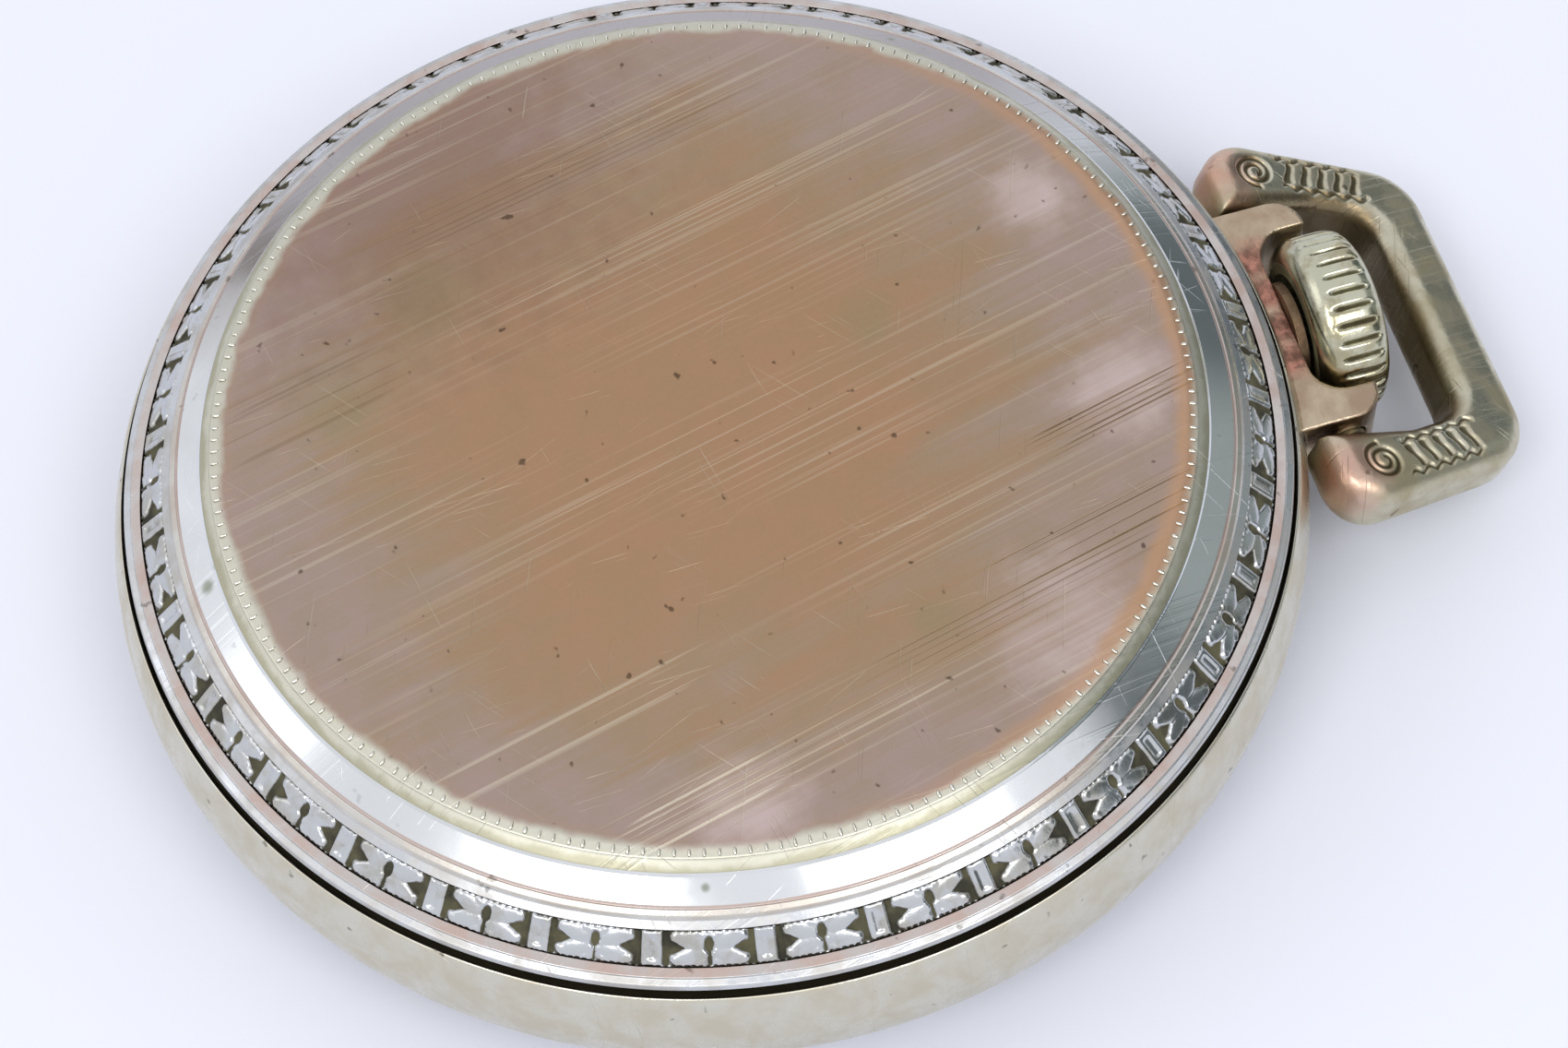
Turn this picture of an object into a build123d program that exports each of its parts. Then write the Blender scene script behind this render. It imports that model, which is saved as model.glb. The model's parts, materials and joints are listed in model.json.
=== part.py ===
from build123d import *
import math
import os

# Open-face, stem-wound pocket watch with a screw back, lying on its crystal.
# Millimetres. Origin on the case axis at the crystal's flat outer face,
# +Z out of the back cover, +Y towards the pendant, hands turn about +Z.

# ---- fits --------------------------------------------------------------
running = 0.05  # radial clearance of a pivot, skirt or sleeve in its bore
clear = 0.1  # gap between pieces that must not touch
set_fit = 0.01  # gap round a piece that is set into its seat

# ---- case, driven by the movement it holds ---------------------------------
plate_r = 21.0  # pillar plate, a 16-size movement
flange_step = 0.7  # flange that stops the movement on the case ledge
skirt_wall = 0.7  # threaded skirt of cover and bezel
seat_width = 0.75  # face the cover and bezel screw down on
lip_width = 0.7  # lip outside the seat
belly_rise = 0.85  # how far the band swells beyond the lip
half_seam = 3.0  # half the distance between the two seams
seam_gap = 0.35  # open groove between lip and band
skirt_h = 1.6
bore_h = 1.75
ledge_half_lo = 1.3  # ledge faces, measured from the stem's height
ledge_half_up = 1.2
wall = 0.8  # cover wall
cover_rise = 3.15  # disc above the seam
bead_inset = 4.28  # bead ring in from the lip
bead_width = 0.42
crystal_inset = 4.6  # crystal's edge in from the lip
crystal_t = 1.2
crystal_bevel = 0.8
seam_lo = 2.8  # bezel seam above the crystal's outer face

flange_r = plate_r + flange_step
skirt_in = flange_r + clear
skirt_r = skirt_in + skirt_wall
bore_r = skirt_r + running
seat_r = bore_r + seat_width
lip_r = seat_r + lip_width
belly_r = lip_r + belly_rise
bead_r = lip_r - bead_inset
disc_r = bead_r - bead_width
crystal_r = lip_r - crystal_inset
stem_z = seam_lo + half_seam
seam_up = stem_z + half_seam
ledge_lo = stem_z - ledge_half_lo
ledge_up = stem_z + ledge_half_up
ledge_r = plate_r + clear

# ring profile of cover and bezel: (distance in from the lip, height over the seam)
lip_top = (0.33, 0.40)
land_in = (0.75, 0.45)
band_in = (1.83, 1.44)  # inner edge of the engraved band
ridge_out = (2.15, 1.88)
bevel_out = (2.65, 2.01)
bevel_in = (3.63, 2.63)

# ---- pendant, crown, stem, bow -----------------------------------------
pendant_cheek = 1.5  # wall on each side of the crown notch
pendant_skin = 0.1  # metal left above the sleeve's bore
pendant_reach = 2.85  # beyond the band's widest radius
crown_side_gap = 0.25
notch_floor = 0.45  # floor of the crown notch beyond the belly
notch_corner = 1.4
pendant_corner = 1.3
crown_r = 3.95
crown_len = 3.5
crown_gap = 0.5  # crown off the notch floor
crown_travel = 1.3
flute_count = 26
flute_r = 0.26
stem_r = 0.9
stem_neck_r = 0.75
stem_square = 1.06
sleeve_wall = 0.6
sleeve_flange = 1.4  # flange beyond the stem
sleeve_flange_t = 0.4
bow_pivot_out = 1.35  # pivot beyond the belly
bow_room = 0.7  # top bar clear of the pulled crown
bow_bar = 2.9  # width of the top bar
bow_t = 2.8
bow_foot_gap = 0.28
bow_swing_gap = 0.15  # feet clear of the pendant's corners as the bow swings
bow_foot_w = 4.1
bow_foot_drop = 2.0  # feet below the pivot
bow_top_half = 7.5
bow_leg_top = 2.15
bow_pin_r = 0.7
bow_pin_len = 1.1
bow_droop = 20.5  # degrees below the case's plane

pendant_half_t = stem_r + sleeve_wall + 2 * running + pendant_skin
notch_half_w = crown_r + crown_side_gap
pendant_half_w = notch_half_w + pendant_cheek
sleeve_flange_r = stem_r + sleeve_flange
crown_cavity_r = sleeve_flange_r + 0.3
bow_len = notch_floor + crown_gap + crown_len + crown_travel - bow_pivot_out + bow_room + bow_bar

# ---- movement ----------------------------------------------------------
plate_t = 1.65
dial_t = 0.8
dial_r = plate_r - 0.4
bridge_room = 1.8  # plate to bridges
bridge_t = 1.2
bridge_r = plate_r - 0.4
foot_r = 1.6
foot_circle = plate_r - 2.4
arbor_r = 0.3
pivot_r = 0.13
jewel_r = 0.7
jewel_t = 0.3
motion_depth = 0.5  # recess on the dial side for the motion work
wheel_t = 0.25
hand_t = 0.15
hand_gap = 0.2

plate_top = stem_z - 0.5
plate_bottom = plate_top - plate_t
dial_top = plate_bottom - clear
dial_bottom = dial_top - dial_t
bridge_bottom = plate_top + bridge_room
bridge_top = bridge_bottom + bridge_t
recess_top = plate_bottom + motion_depth
motion_level = plate_bottom + 0.03
second_hand_z = dial_bottom - 0.15 - hand_t
hour_hand_z = second_hand_z - hand_gap - hand_t
minute_hand_z = hour_hand_z - hand_gap - hand_t

# wheel train: tooth counts and modules
barrel_teeth, centre_leaves, barrel_module = 78, 12, 0.22
centre_teeth, third_leaves, centre_module = 80, 10, 0.16
third_teeth, fourth_leaves, third_module = 75, 10, 0.135
fourth_teeth, escape_leaves, fourth_module = 80, 8, 0.11
cannon_leaves, minute_teeth, minute_module = 12, 36, 0.2
minute_leaves, hour_teeth = 10, 40
setting_teeth = 24
ratchet_teeth, crown_teeth, ratchet_module = 54, 30, 0.29
winding_leaves = 14
escape_teeth = 15
escape_r = 3.6

# directions that place the train, in degrees
barrel_dir = 150
third_dir = -56.84
fourth_dir = 226.6
escape_dir = 170.0
minute_dir = 60
setting_x = 1.2
pallet_dist = 4.16
pallet_dir = 189.4
balance_dist = 3.6
balance_dir = 100.1


def polar(origin, distance, degrees):
    a = math.radians(degrees)
    return (origin[0] + distance * math.cos(a), origin[1] + distance * math.sin(a))


def mesh_distance(module, teeth_a, teeth_b):
    return module * (teeth_a + teeth_b) / 2


centre = (0.0, 0.0)
barrel = polar(centre, mesh_distance(barrel_module, barrel_teeth, centre_leaves), barrel_dir)
third = polar(centre, mesh_distance(centre_module, centre_teeth, third_leaves), third_dir)
fourth = polar(third, mesh_distance(third_module, third_teeth, fourth_leaves), fourth_dir)
escape = polar(fourth, mesh_distance(fourth_module, fourth_teeth, escape_leaves), escape_dir)
pallet = polar(escape, pallet_dist, pallet_dir)
balance = polar(pallet, balance_dist, balance_dir)
minute = polar(centre, mesh_distance(minute_module, cannon_leaves, minute_teeth), minute_dir)
crown_gap_xy = mesh_distance(ratchet_module, ratchet_teeth, crown_teeth)
crown_wheel_xy = (0.0, barrel[1] + math.sqrt(crown_gap_xy**2 - barrel[0] ** 2))
setting_gap = mesh_distance(minute_module, minute_teeth, setting_teeth)
setting = (setting_x, minute[1] + math.sqrt(setting_gap**2 - (setting_x - minute[0]) ** 2))

# heights of the train
drum_r = 8.1
barrel_teeth_z = plate_top + 0.2
barrel_teeth_t = 0.6
drum_wall = 0.35
drum_bottom = recess_top + drum_wall
drum_top = barrel_teeth_z + barrel_teeth_t + drum_wall
centre_pinion_z = plate_top + 0.05
centre_wheel_z = drum_top + clear
third_wheel_z = plate_top + 0.25
third_pinion_z = centre_wheel_z - 0.15
fourth_pinion_z = plate_top + 0.1
fourth_wheel_z = plate_top + 0.8
escape_wheel_z = plate_top + 0.15
escape_pinion_z = plate_top + 0.6
fork_z = plate_top + 0.55
pallet_bridge_z = plate_top + 1.2
pallet_bridge_t = 0.45
roller_z = plate_top + 1.0
balance_z = bridge_bottom
balance_t = 0.8
balance_r = 6.8
balance_clear = 1.3  # bridges off the balance rim and its screws
balance_room = balance_r + balance_clear
hairspring_z = balance_z + balance_t + 0.1
cock_z = hairspring_z + 0.35
cock_t = 0.95
cock_foot_r = 1.9
cock_foot = polar(balance, balance_room + 0.5 + cock_foot_r, -70.5)
ratchet_z = bridge_top + running
ratchet_t = 0.5
contrate_in = 3.1
contrate_depth = ratchet_z - bridge_bottom - 0.76

train_feet = (20, -40, 282)
barrel_feet = (72, 118, 176)
case_screw_dirs = (45, 150, 300)
case_screw_circle = plate_r - 0.7
case_screw_head_r = 1.4
screw_r = 0.5
screw_head_r = 0.95
screw_head_t = 0.45
slot_w = 0.22


# ---- helpers -----------------------------------------------------------
def disc(r, z0, z1, at=(0, 0)):
    return Pos(at[0], at[1], z0) * Cylinder(r, z1 - z0, align=(Align.CENTER, Align.CENTER, Align.MIN))


def ring(outer, inner, z0, z1, at=(0, 0)):
    return disc(outer, z0, z1, at) - disc(inner, z0 - 1, z1 + 1, at)


def block(x0, x1, y0, y1, z0, z1):
    centre_point = Pos((x0 + x1) / 2, (y0 + y1) / 2, (z0 + z1) / 2)
    return centre_point * Box(x1 - x0, y1 - y0, z1 - z0)


def turned(points, axis=Axis.Z):
    """Revolve a closed outline of (radius, height) points about the case axis."""
    outline = Polyline(*[(r, 0, z) for r, z in points], close=True)
    return revolve(make_face(outline), axis)


def bar(a, b, width, z0, z1):
    """Straight arm with round ends from point a to point b."""
    dx, dy = b[0] - a[0], b[1] - a[1]
    length = math.hypot(dx, dy)
    turn = Rot(0, 0, math.degrees(math.atan2(dy, dx)))
    arm = Pos(a[0], a[1], 0) * turn * block(0, length, -width / 2, width / 2, z0, z1)
    return arm + disc(width / 2, z0, z1, a) + disc(width / 2, z0, z1, b)


def gear(teeth, module, z0, z1, at=(0, 0), phase=0.0, bore=0.0):
    """Wheel or pinion with slim straight-flanked teeth; phase puts a tooth there."""
    pitch = 360 / teeth
    tip = module * (teeth / 2 + 0.8)
    root = module * (teeth / 2 - 1.05)
    points = []
    for i in range(teeth):
        middle = phase + i * pitch
        for r, share in ((root, -0.30), (tip, -0.14), (tip, 0.14), (root, 0.30)):
            points.append(polar((0, 0), r, middle + share * pitch))
    body = extrude(make_face(Polyline(*points, close=True)), z1 - z0)
    body = Pos(at[0], at[1], z0) * body
    if bore:
        body -= disc(bore, z0 - 1, z1 + 1, at)
    return body


def mating_phase(phase_a, teeth_a, teeth_b, direction):
    """Phase of gear b, which lies in that direction from gear a, to mesh with it."""
    share = (direction - phase_a) / (360 / teeth_a)
    return direction + 180 - (360 / teeth_b) * (0.5 - share)


def spoke_windows(count, inner, outer, width, z0, z1, at, turn=0):
    """Openings that leave that many spokes between hub and rim."""
    window = ring(outer, inner, z0, z1, at)
    for i in range(count):
        end = polar(at, outer + 1, turn + i * 360 / count)
        window -= bar(at, end, width, z0 - 1, z1 + 1)
    return window


def spoked_wheel(teeth, module, z0, at, phase, bore, rim, spokes=5):
    root = module * (teeth / 2 - 1.05)
    wheel = gear(teeth, module, z0, z0 + wheel_t, at, phase, bore)
    hub = bore + 0.9
    return wheel - spoke_windows(spokes, hub, root - rim, 0.7, z0 - 1, z0 + wheel_t + 1, at)


def screw(at, z_under, length, head_r=screw_head_r, head_t=screw_head_t, shank=screw_r):
    head = disc(head_r, z_under, z_under + head_t, at)
    top = z_under + head_t
    slot = block(at[0] - head_r, at[0] + head_r, at[1] - slot_w / 2, at[1] + slot_w / 2, top - 0.2, top + 1)
    return (head - slot) + disc(shank, z_under - length, z_under, at)


def spiral_strip(r0, r1, turns, thick, z0, z1, at, start=0.0):
    """Coiled strip between two Archimedean spirals."""
    steps = int(turns * 10)
    inner, outer = [], []
    for i in range(steps + 1):
        share = i / steps
        r = r0 + (r1 - r0) * share
        a = start + 360 * turns * share
        inner.append(polar((0, 0), r - thick / 2, a))
        outer.append(polar((0, 0), r + thick / 2, a))
    edges = [Spline(*inner), Spline(*outer), Line(inner[0], outer[0]), Line(inner[-1], outer[-1])]
    strip = extrude(make_face(edges), z1 - z0)
    return Pos(at[0], at[1], z0) * strip


# ---- case --------------------------------------------------------------
def ring_outline(seam, way):
    """Outside of cover or bezel from the lip to the bevel's inner edge; way is +1 up or -1 down."""
    steps = ((0, 0), lip_top, land_in, band_in, ridge_out, bevel_out, bevel_in)
    return [(lip_r - inset, seam + way * rise) for inset, rise in steps]


def thread_rings(part, z0, z1):
    """Parallel rings that stand in for the fine thread on a skirt."""
    count = 4
    pitch = (z1 - z0) / count
    for i in range(count):
        z = z0 + (i + 0.5) * pitch
        part -= turned([(skirt_r + 0.01, z - 0.13), (skirt_r - 0.15, z), (skirt_r + 0.01, z + 0.13)])
    return part


def make_back_cover():
    top = seam_up + cover_rise
    outside = ring_outline(seam_up, 1)
    bead_in = bead_r - bead_width / 2
    bead_out = bead_r + bead_width / 2
    crest = [(bead_out, top - 0.2), (bead_r, top - 0.02), (bead_in, top - 0.12), (disc_r, top), (0, top)]
    inside = [
        (0, top - wall),
        (disc_r - 0.3, top - wall),
        (lip_r - bevel_out[0] - 0.55, seam_up + bevel_out[1] - wall),
        (skirt_in, seam_up + 0.6),
        (skirt_in, seam_up - skirt_h),
        (skirt_r, seam_up - skirt_h),
        (skirt_r, seam_up),
    ]
    cover = turned(outside + crest + inside)
    return thread_rings(cover, seam_up - skirt_h + 0.1, seam_up - 0.1)


def make_front_bezel():
    outside = ring_outline(seam_lo, -1)
    rim = outside[-1][1]
    inside = [
        (crystal_r + 0.3, rim + 0.03),
        (crystal_r + running, rim + 0.2),
        (crystal_r + running, crystal_t),
        (crystal_r - 0.7, crystal_t),
        (crystal_r - 0.7, crystal_t + 0.4),
        (dial_r, crystal_t + 0.55),
        (skirt_in, seam_lo - 0.4),
        (skirt_in, seam_lo + skirt_h),
        (skirt_r, seam_lo + skirt_h),
        (skirt_r, seam_lo),
    ]
    bezel = turned(outside + inside)
    return thread_rings(bezel, seam_lo + 0.1, seam_lo + skirt_h - 0.1)


def make_crystal():
    points = [(0, 0), (crystal_r - crystal_bevel, 0), (crystal_r, crystal_bevel / 2)]
    return turned(points + [(crystal_r, crystal_t), (0, crystal_t)])


def band_outside(extra=0.0):
    """Barrel-shaped outside of the band, solid to the axis."""
    low, high = seam_lo + seam_gap, seam_up - seam_gap
    swell = ThreePointArc((lip_r + extra, 0, low), (belly_r + extra, 0, stem_z), (lip_r + extra, 0, high))
    rest = Polyline((lip_r + extra, 0, high), (0, 0, high), (0, 0, low), (lip_r + extra, 0, low))
    return revolve(make_face(Wire([swell.edge(), *rest.edges()])), Axis.Z)


def stem_bore(r, y0, y1):
    rod = Cylinder(r, y1 - y0, align=(Align.CENTER, Align.CENTER, Align.MIN))
    return Pos(0, y0, stem_z) * Rot(-90, 0, 0) * rod


def make_case_band():
    band = band_outside() + disc(seat_r, seam_lo, seam_up)
    band -= disc(ledge_r, seam_lo - 1, seam_up + 1)
    band -= disc(bore_r, seam_lo - 1, ledge_lo)
    band -= disc(bore_r, ledge_up, seam_up + 1)
    return band - stem_bore(stem_r + sleeve_wall + 2 * running, plate_r - 2, belly_r + 1)


def make_pendant():
    y_top = belly_r + pendant_reach
    body = block(-pendant_half_w, pendant_half_w, lip_r - 2, y_top, stem_z - pendant_half_t, stem_z + pendant_half_t)
    body = fillet(body.edges().filter_by(Axis.Z).group_by(Axis.Y)[-1], pendant_corner)
    floor_y = belly_r + notch_floor
    notch = block(-notch_half_w, notch_half_w, floor_y, y_top + 3, stem_z - 5, stem_z + 5)
    notch = fillet(notch.edges().filter_by(Axis.Z).group_by(Axis.Y)[0], notch_corner)
    body -= notch
    for side in (-1, 1):
        hole = Cylinder(bow_pin_r + running, 2 * (bow_pin_len + clear))
        body -= Pos(side * pendant_half_w, belly_r + bow_pivot_out, stem_z) * Rot(0, 90, 0) * hole
    body -= band_outside(set_fit)
    return body - stem_bore(stem_r + sleeve_wall + 2 * running, plate_r, y_top)


def make_pendant_sleeve():
    floor_y = belly_r + notch_floor
    outer = stem_r + sleeve_wall + running
    tube = stem_bore(outer, bore_r + 0.2, floor_y)
    tube += stem_bore(sleeve_flange_r, floor_y, floor_y + sleeve_flange_t)
    return tube - stem_bore(stem_r + running, plate_r - 1, floor_y + 2)


def crown_profile(y0):
    """Barrel-shaped crown with a domed end: (radius, distance along the stem)."""
    r, h = crown_r, crown_len
    return [
        (r * 0.86, y0),
        (r * 0.96, y0 + 0.12 * h),
        (r, y0 + 0.3 * h),
        (r, y0 + 0.68 * h),
        (r * 0.94, y0 + 0.8 * h),
        (r * 0.74, y0 + 0.91 * h),
        (r * 0.4, y0 + 0.98 * h),
        (0, y0 + h),
    ]


def make_crown():
    y0 = belly_r + notch_floor + crown_gap
    cavity_depth = sleeve_flange_t + 0.5
    inner = [(0, y0 + cavity_depth), (crown_cavity_r, y0 + cavity_depth), (crown_cavity_r, y0)]
    crown = turned(crown_profile(y0) + inner)
    for i in range(flute_count):
        x, z = polar((0, 0), crown_r + flute_r * 0.3, i * 360 / flute_count)
        rod = Cylinder(flute_r, crown_len * 0.5, align=(Align.CENTER, Align.CENTER, Align.MIN))
        crown -= Pos(x, z, y0 + 0.26 * crown_len) * rod
    crown = Pos(0, 0, stem_z) * Rot(-90, 0, 0) * crown
    return crown - stem_bore(stem_neck_r, y0, y0 + cavity_depth + 0.8)


clutch_len = 1.9
pinion_len = 1.6
pinion_engage = 0.2  # pinion beyond the inner ends of the crown wheel's contrate teeth
pinion_y = crown_wheel_xy[1] + contrate_in + pinion_engage
clutch_y = pinion_y - clear - clutch_len
winding_r = 2.0
clutch_r = 1.65
block_y = pinion_y + pinion_len + clear
lever_sweep = 0.75  # recess past the stem block, for the setting lever's swing


def make_stem():
    crown_base = belly_r + notch_floor + crown_gap
    cavity_depth = sleeve_flange_t + 0.5
    half = stem_square / 2
    square = block(-half, half, clutch_y - crown_travel, pinion_y, stem_z - half, stem_z + half)
    neck = stem_bore(stem_neck_r, pinion_y, block_y)
    rod = stem_bore(stem_r, block_y, crown_base + cavity_depth)
    thread = stem_bore(stem_neck_r, crown_base + cavity_depth, crown_base + cavity_depth + 0.8)
    return square + neck + rod + thread


def bow_outline(right, corner_low, corner_high):
    """Outline that mirrors its right-hand points, given from the foot up."""
    left = [(-x, y) for x, y in reversed(right)]
    face = make_face(Polyline(*right, *left, close=True))
    rounded = fillet(face.vertices().group_by(Axis.Y)[-1], corner_high)
    if corner_low:
        rounded = fillet(rounded.vertices().group_by(Axis.Y)[0], corner_low)
    return rounded


def make_bow():
    inner_foot = pendant_half_w + bow_foot_gap
    foot_half = inner_foot + bow_foot_w
    outer = bow_outline([(foot_half, -bow_foot_drop), (bow_top_half, bow_len)], 0.9 * bow_foot_drop, 2.6)
    swing_r = math.hypot(pendant_reach - bow_pivot_out, pendant_half_t) + bow_swing_gap
    inner_top = (bow_top_half - bow_leg_top, bow_len - bow_bar)
    inner = bow_outline([(inner_foot, -bow_foot_drop - 1), (inner_foot, swing_r), inner_top], 0, 1.6)
    loop = extrude(outer - inner, bow_t / 2, both=True)
    loop = fillet(loop.edges().filter_by(Axis.Z, reverse=True), 0.42 * bow_leg_top)
    for side in (-1, 1):
        x0 = pendant_half_w - bow_pin_len
        x1 = inner_foot + 0.5
        pin = Pos(side * (x0 + x1) / 2, 0, 0) * Rot(0, 90, 0) * Cylinder(bow_pin_r, x1 - x0)
        loop += pin
    return Pos(0, belly_r + bow_pivot_out, stem_z) * Rot(-bow_droop, 0, 0) * loop


def make_case_screws():
    screws = []
    for direction in case_screw_dirs:
        at = polar(centre, case_screw_circle, direction)
        screws.append(screw(at, ledge_up, ledge_up - plate_top + 0.9, case_screw_head_r))
    return Compound(children=screws)


# ---- plates and bridges -----------------------------------------------------
def half_plane(offset, side):
    """Region on one side of the line between barrel bridge and train bridge."""
    size = 3 * plate_r
    x0, x1 = (offset, size) if side > 0 else (-size, offset)
    return Rot(0, 0, barrel_dir) * block(x0, x1, -size, size, -size, size)


split_line = 1.65
split_half_gap = 0.1
dial_feet = (30, 195, 262)
foot_post_r = 0.4


def feet_points(directions):
    return [polar(centre, foot_circle, d) for d in directions]


def make_pillar_plate():
    plate = disc(plate_r, plate_bottom, plate_top) + disc(flange_r, plate_bottom, ledge_lo)
    tip = barrel_module * (barrel_teeth / 2 + 0.8)
    plate -= disc(tip + 0.2, drum_bottom - running, plate_top + 1, barrel)
    recess = disc(minute_module * (hour_teeth / 2 + 1) + 0.3, plate_bottom - 1, recess_top, centre)
    recess += disc(minute_module * (minute_teeth / 2 + 1) + 0.2, plate_bottom - 1, recess_top, minute)
    recess += disc(minute_module * (setting_teeth / 2 + 1) + 0.2, plate_bottom - 1, recess_top, setting)
    recess += block(-4.2, 6.4, setting[1], block_y + lever_sweep, plate_bottom - 1, recess_top)
    plate -= recess
    room = winding_r + 0.2
    slot = block(-room, room, clutch_y - crown_travel - 0.3, block_y, plate_bottom - 1, plate_top + 1)
    plate -= slot
    plate += block(-room, room, block_y, plate_r - 0.5, plate_top - 0.2, bridge_bottom)
    plate -= stem_bore(stem_r + running, block_y - 1, plate_r + 2)
    plate -= disc(jewel_r * 0.9, plate_bottom - 1, plate_top + 1, centre)
    for point in (third, escape, pallet, balance):
        plate -= disc(jewel_r + set_fit, plate_top - jewel_t, plate_top + 1, point)
        plate -= disc(pivot_r + running, plate_top - 0.7, plate_top, point)
    plate -= disc(jewel_r + set_fit, plate_top - jewel_t, plate_top + 1, fourth)
    plate -= disc(pivot_r + 2 * running, plate_bottom - 1, plate_top, fourth)
    for point in feet_points(train_feet + barrel_feet) + [cock_foot]:
        plate -= disc(screw_r + set_fit, plate_top - 1.0, plate_top + 1, point)
    for direction in case_screw_dirs:
        plate -= disc(screw_r + set_fit, plate_top - 1.0, plate_top + 1, polar(centre, case_screw_circle, direction))
    for direction in dial_feet:
        point = polar(centre, foot_circle + 0.7, direction)
        plate -= disc(foot_post_r + running, plate_bottom - 1, plate_bottom + 1.0, point)
    for point in (minute, setting):
        plate += disc(0.55, plate_bottom + running, recess_top + 0.1, point)
    for point in (setting_pivot, clutch_pivot):
        plate -= disc(lever_post_r + running, plate_bottom, plate_bottom + 0.95, point)
    return plate


def bridge_blank(side, directions):
    blank = disc(bridge_r, bridge_bottom, bridge_top) & half_plane(split_line + side * split_half_gap, side)
    for point in feet_points(directions):
        blank += disc(foot_r, plate_top, bridge_bottom, point)
    for point in feet_points(directions):
        blank -= disc(screw_r + set_fit, plate_top - 1, bridge_top + 1, point)
        blank -= disc(screw_head_r + set_fit, bridge_top - screw_head_t, bridge_top + 1, point)
    for direction in case_screw_dirs:
        notch_at = polar(centre, case_screw_circle, direction)
        blank -= disc(case_screw_head_r + clear, plate_top + 0.1, bridge_top + 1, notch_at)
    return blank


arbor_hole_r = 1.3


def balance_opening():
    """Open side of the bridges, where the balance swings."""
    outward = math.degrees(math.atan2(balance[1], balance[0]))
    return bar(balance, polar(centre, plate_r + 2, outward), 2 * balance_room, plate_top + 0.1, bridge_top + 1)


def largest(part):
    return max(part.solids(), key=lambda solid: solid.volume)


def make_barrel_bridge():
    bridge = bridge_blank(1, barrel_feet)
    bridge -= disc(arbor_hole_r + running, bridge_bottom - 1, bridge_top + 1, barrel)
    bridge -= balance_opening()
    tip = ratchet_module * (crown_teeth / 2 + 0.8)
    groove_z = ratchet_z - contrate_depth - clear
    bridge -= ring(tip + clear, contrate_in - clear, groove_z, bridge_top + 1, crown_wheel_xy)
    room = winding_r + 0.15
    bridge -= block(-room, room, pinion_y - 0.2, block_y, bridge_bottom - 1, groove_z + 0.2)
    clutch_top = stem_z + clutch_r + clear
    bridge -= block(-room, room, clutch_y - crown_travel - 0.2, pinion_y, bridge_bottom - 1, clutch_top)
    bridge -= disc(screw_r + set_fit, bridge_top - 1.0, bridge_top + 1, crown_wheel_xy)
    bridge -= disc(screw_r + set_fit, bridge_top - 0.9, bridge_top + 1, click_at)
    return largest(bridge)


def make_train_bridge():
    bridge = bridge_blank(-1, train_feet)
    bridge -= balance_opening()
    bridge -= disc(cock_foot_r + 0.25, bridge_bottom - 1, bridge_top + 1, cock_foot)
    for point in (centre, third, fourth):
        bridge -= disc(jewel_r + set_fit, bridge_top - jewel_t, bridge_top + 1, point)
        bridge -= disc(arbor_r + 2 * running, bridge_bottom - 1, bridge_top + 1, point)
    return largest(bridge & half_plane(split_line - split_half_gap, -1))


def make_balance_cock():
    top = cock_z + cock_t
    cock = bar(balance, cock_foot, 3.4, cock_z, top) + disc(2.1, cock_z, top, balance)
    cock += disc(cock_foot_r, plate_top, top, cock_foot)
    cock -= disc(jewel_r + set_fit, top - jewel_t, top + 1, balance)
    cock -= disc(arbor_r + 2 * running, cock_z - 1, top + 1, balance)
    cock -= disc(screw_r + set_fit, plate_top - 1, top + 1, cock_foot)
    cock -= disc(screw_head_r + set_fit, top - screw_head_t, top + 1, cock_foot)
    return cock - disc(stud_r + set_fit, cock_z - 1, top + 1, stud_at)


guard = polar(pallet, 4.05, 260.4)


def make_pallet_bridge():
    top = pallet_bridge_z + pallet_bridge_t
    bridge = bar(guard, pallet, 2.0, pallet_bridge_z, top) + bar(pallet, escape, 2.0, pallet_bridge_z, top)
    bridge += disc(1.3, plate_top, top, guard)
    for point in (pallet, escape):
        bridge -= disc(jewel_r + set_fit, top - jewel_t, top + 1, point)
        bridge -= disc(arbor_r + 2 * running, pallet_bridge_z - 1, top + 1, point)
    return bridge


def make_bridge_screws():
    screws = []
    for point in feet_points(train_feet + barrel_feet):
        screws.append(screw(point, bridge_top - screw_head_t, bridge_top - screw_head_t - plate_top + 0.9))
    top = cock_z + cock_t
    screws.append(screw(cock_foot, top - screw_head_t, top - screw_head_t - plate_top + 0.9))
    return Compound(children=screws)


def make_train_jewels():
    pallet_top = pallet_bridge_z + pallet_bridge_t
    seats = [(p, bridge_top) for p in (centre, third, fourth)]
    seats += [(p, pallet_top) for p in (pallet, escape)]
    seats += [(balance, cock_z + cock_t)]
    seats += [(p, plate_top) for p in (third, fourth, escape, pallet, balance)]
    jewels = [ring(jewel_r, pivot_r + running, top - jewel_t, top, p) for p, top in seats]
    return Compound(children=jewels)


# ---- power and winding ------------------------------------------------------
barrel_phase = 0.0
centre_pinion_phase = mating_phase(barrel_phase, barrel_teeth, centre_leaves, barrel_dir + 180)
hook_r = 1.9


def make_mainspring_barrel():
    teeth = gear(barrel_teeth, barrel_module, barrel_teeth_z, barrel_teeth_z + barrel_teeth_t, barrel, barrel_phase)
    drum = teeth + disc(drum_r, drum_bottom, drum_top - 0.3, barrel)
    drum -= disc(drum_r - 0.35, drum_bottom + 0.3, drum_top + 1, barrel)
    return drum - disc(0.9 + running, drum_bottom - 1, drum_top, barrel)


def make_barrel_cover():
    return ring(drum_r, 0.9 + running, drum_top - 0.3, drum_top, barrel)


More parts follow.
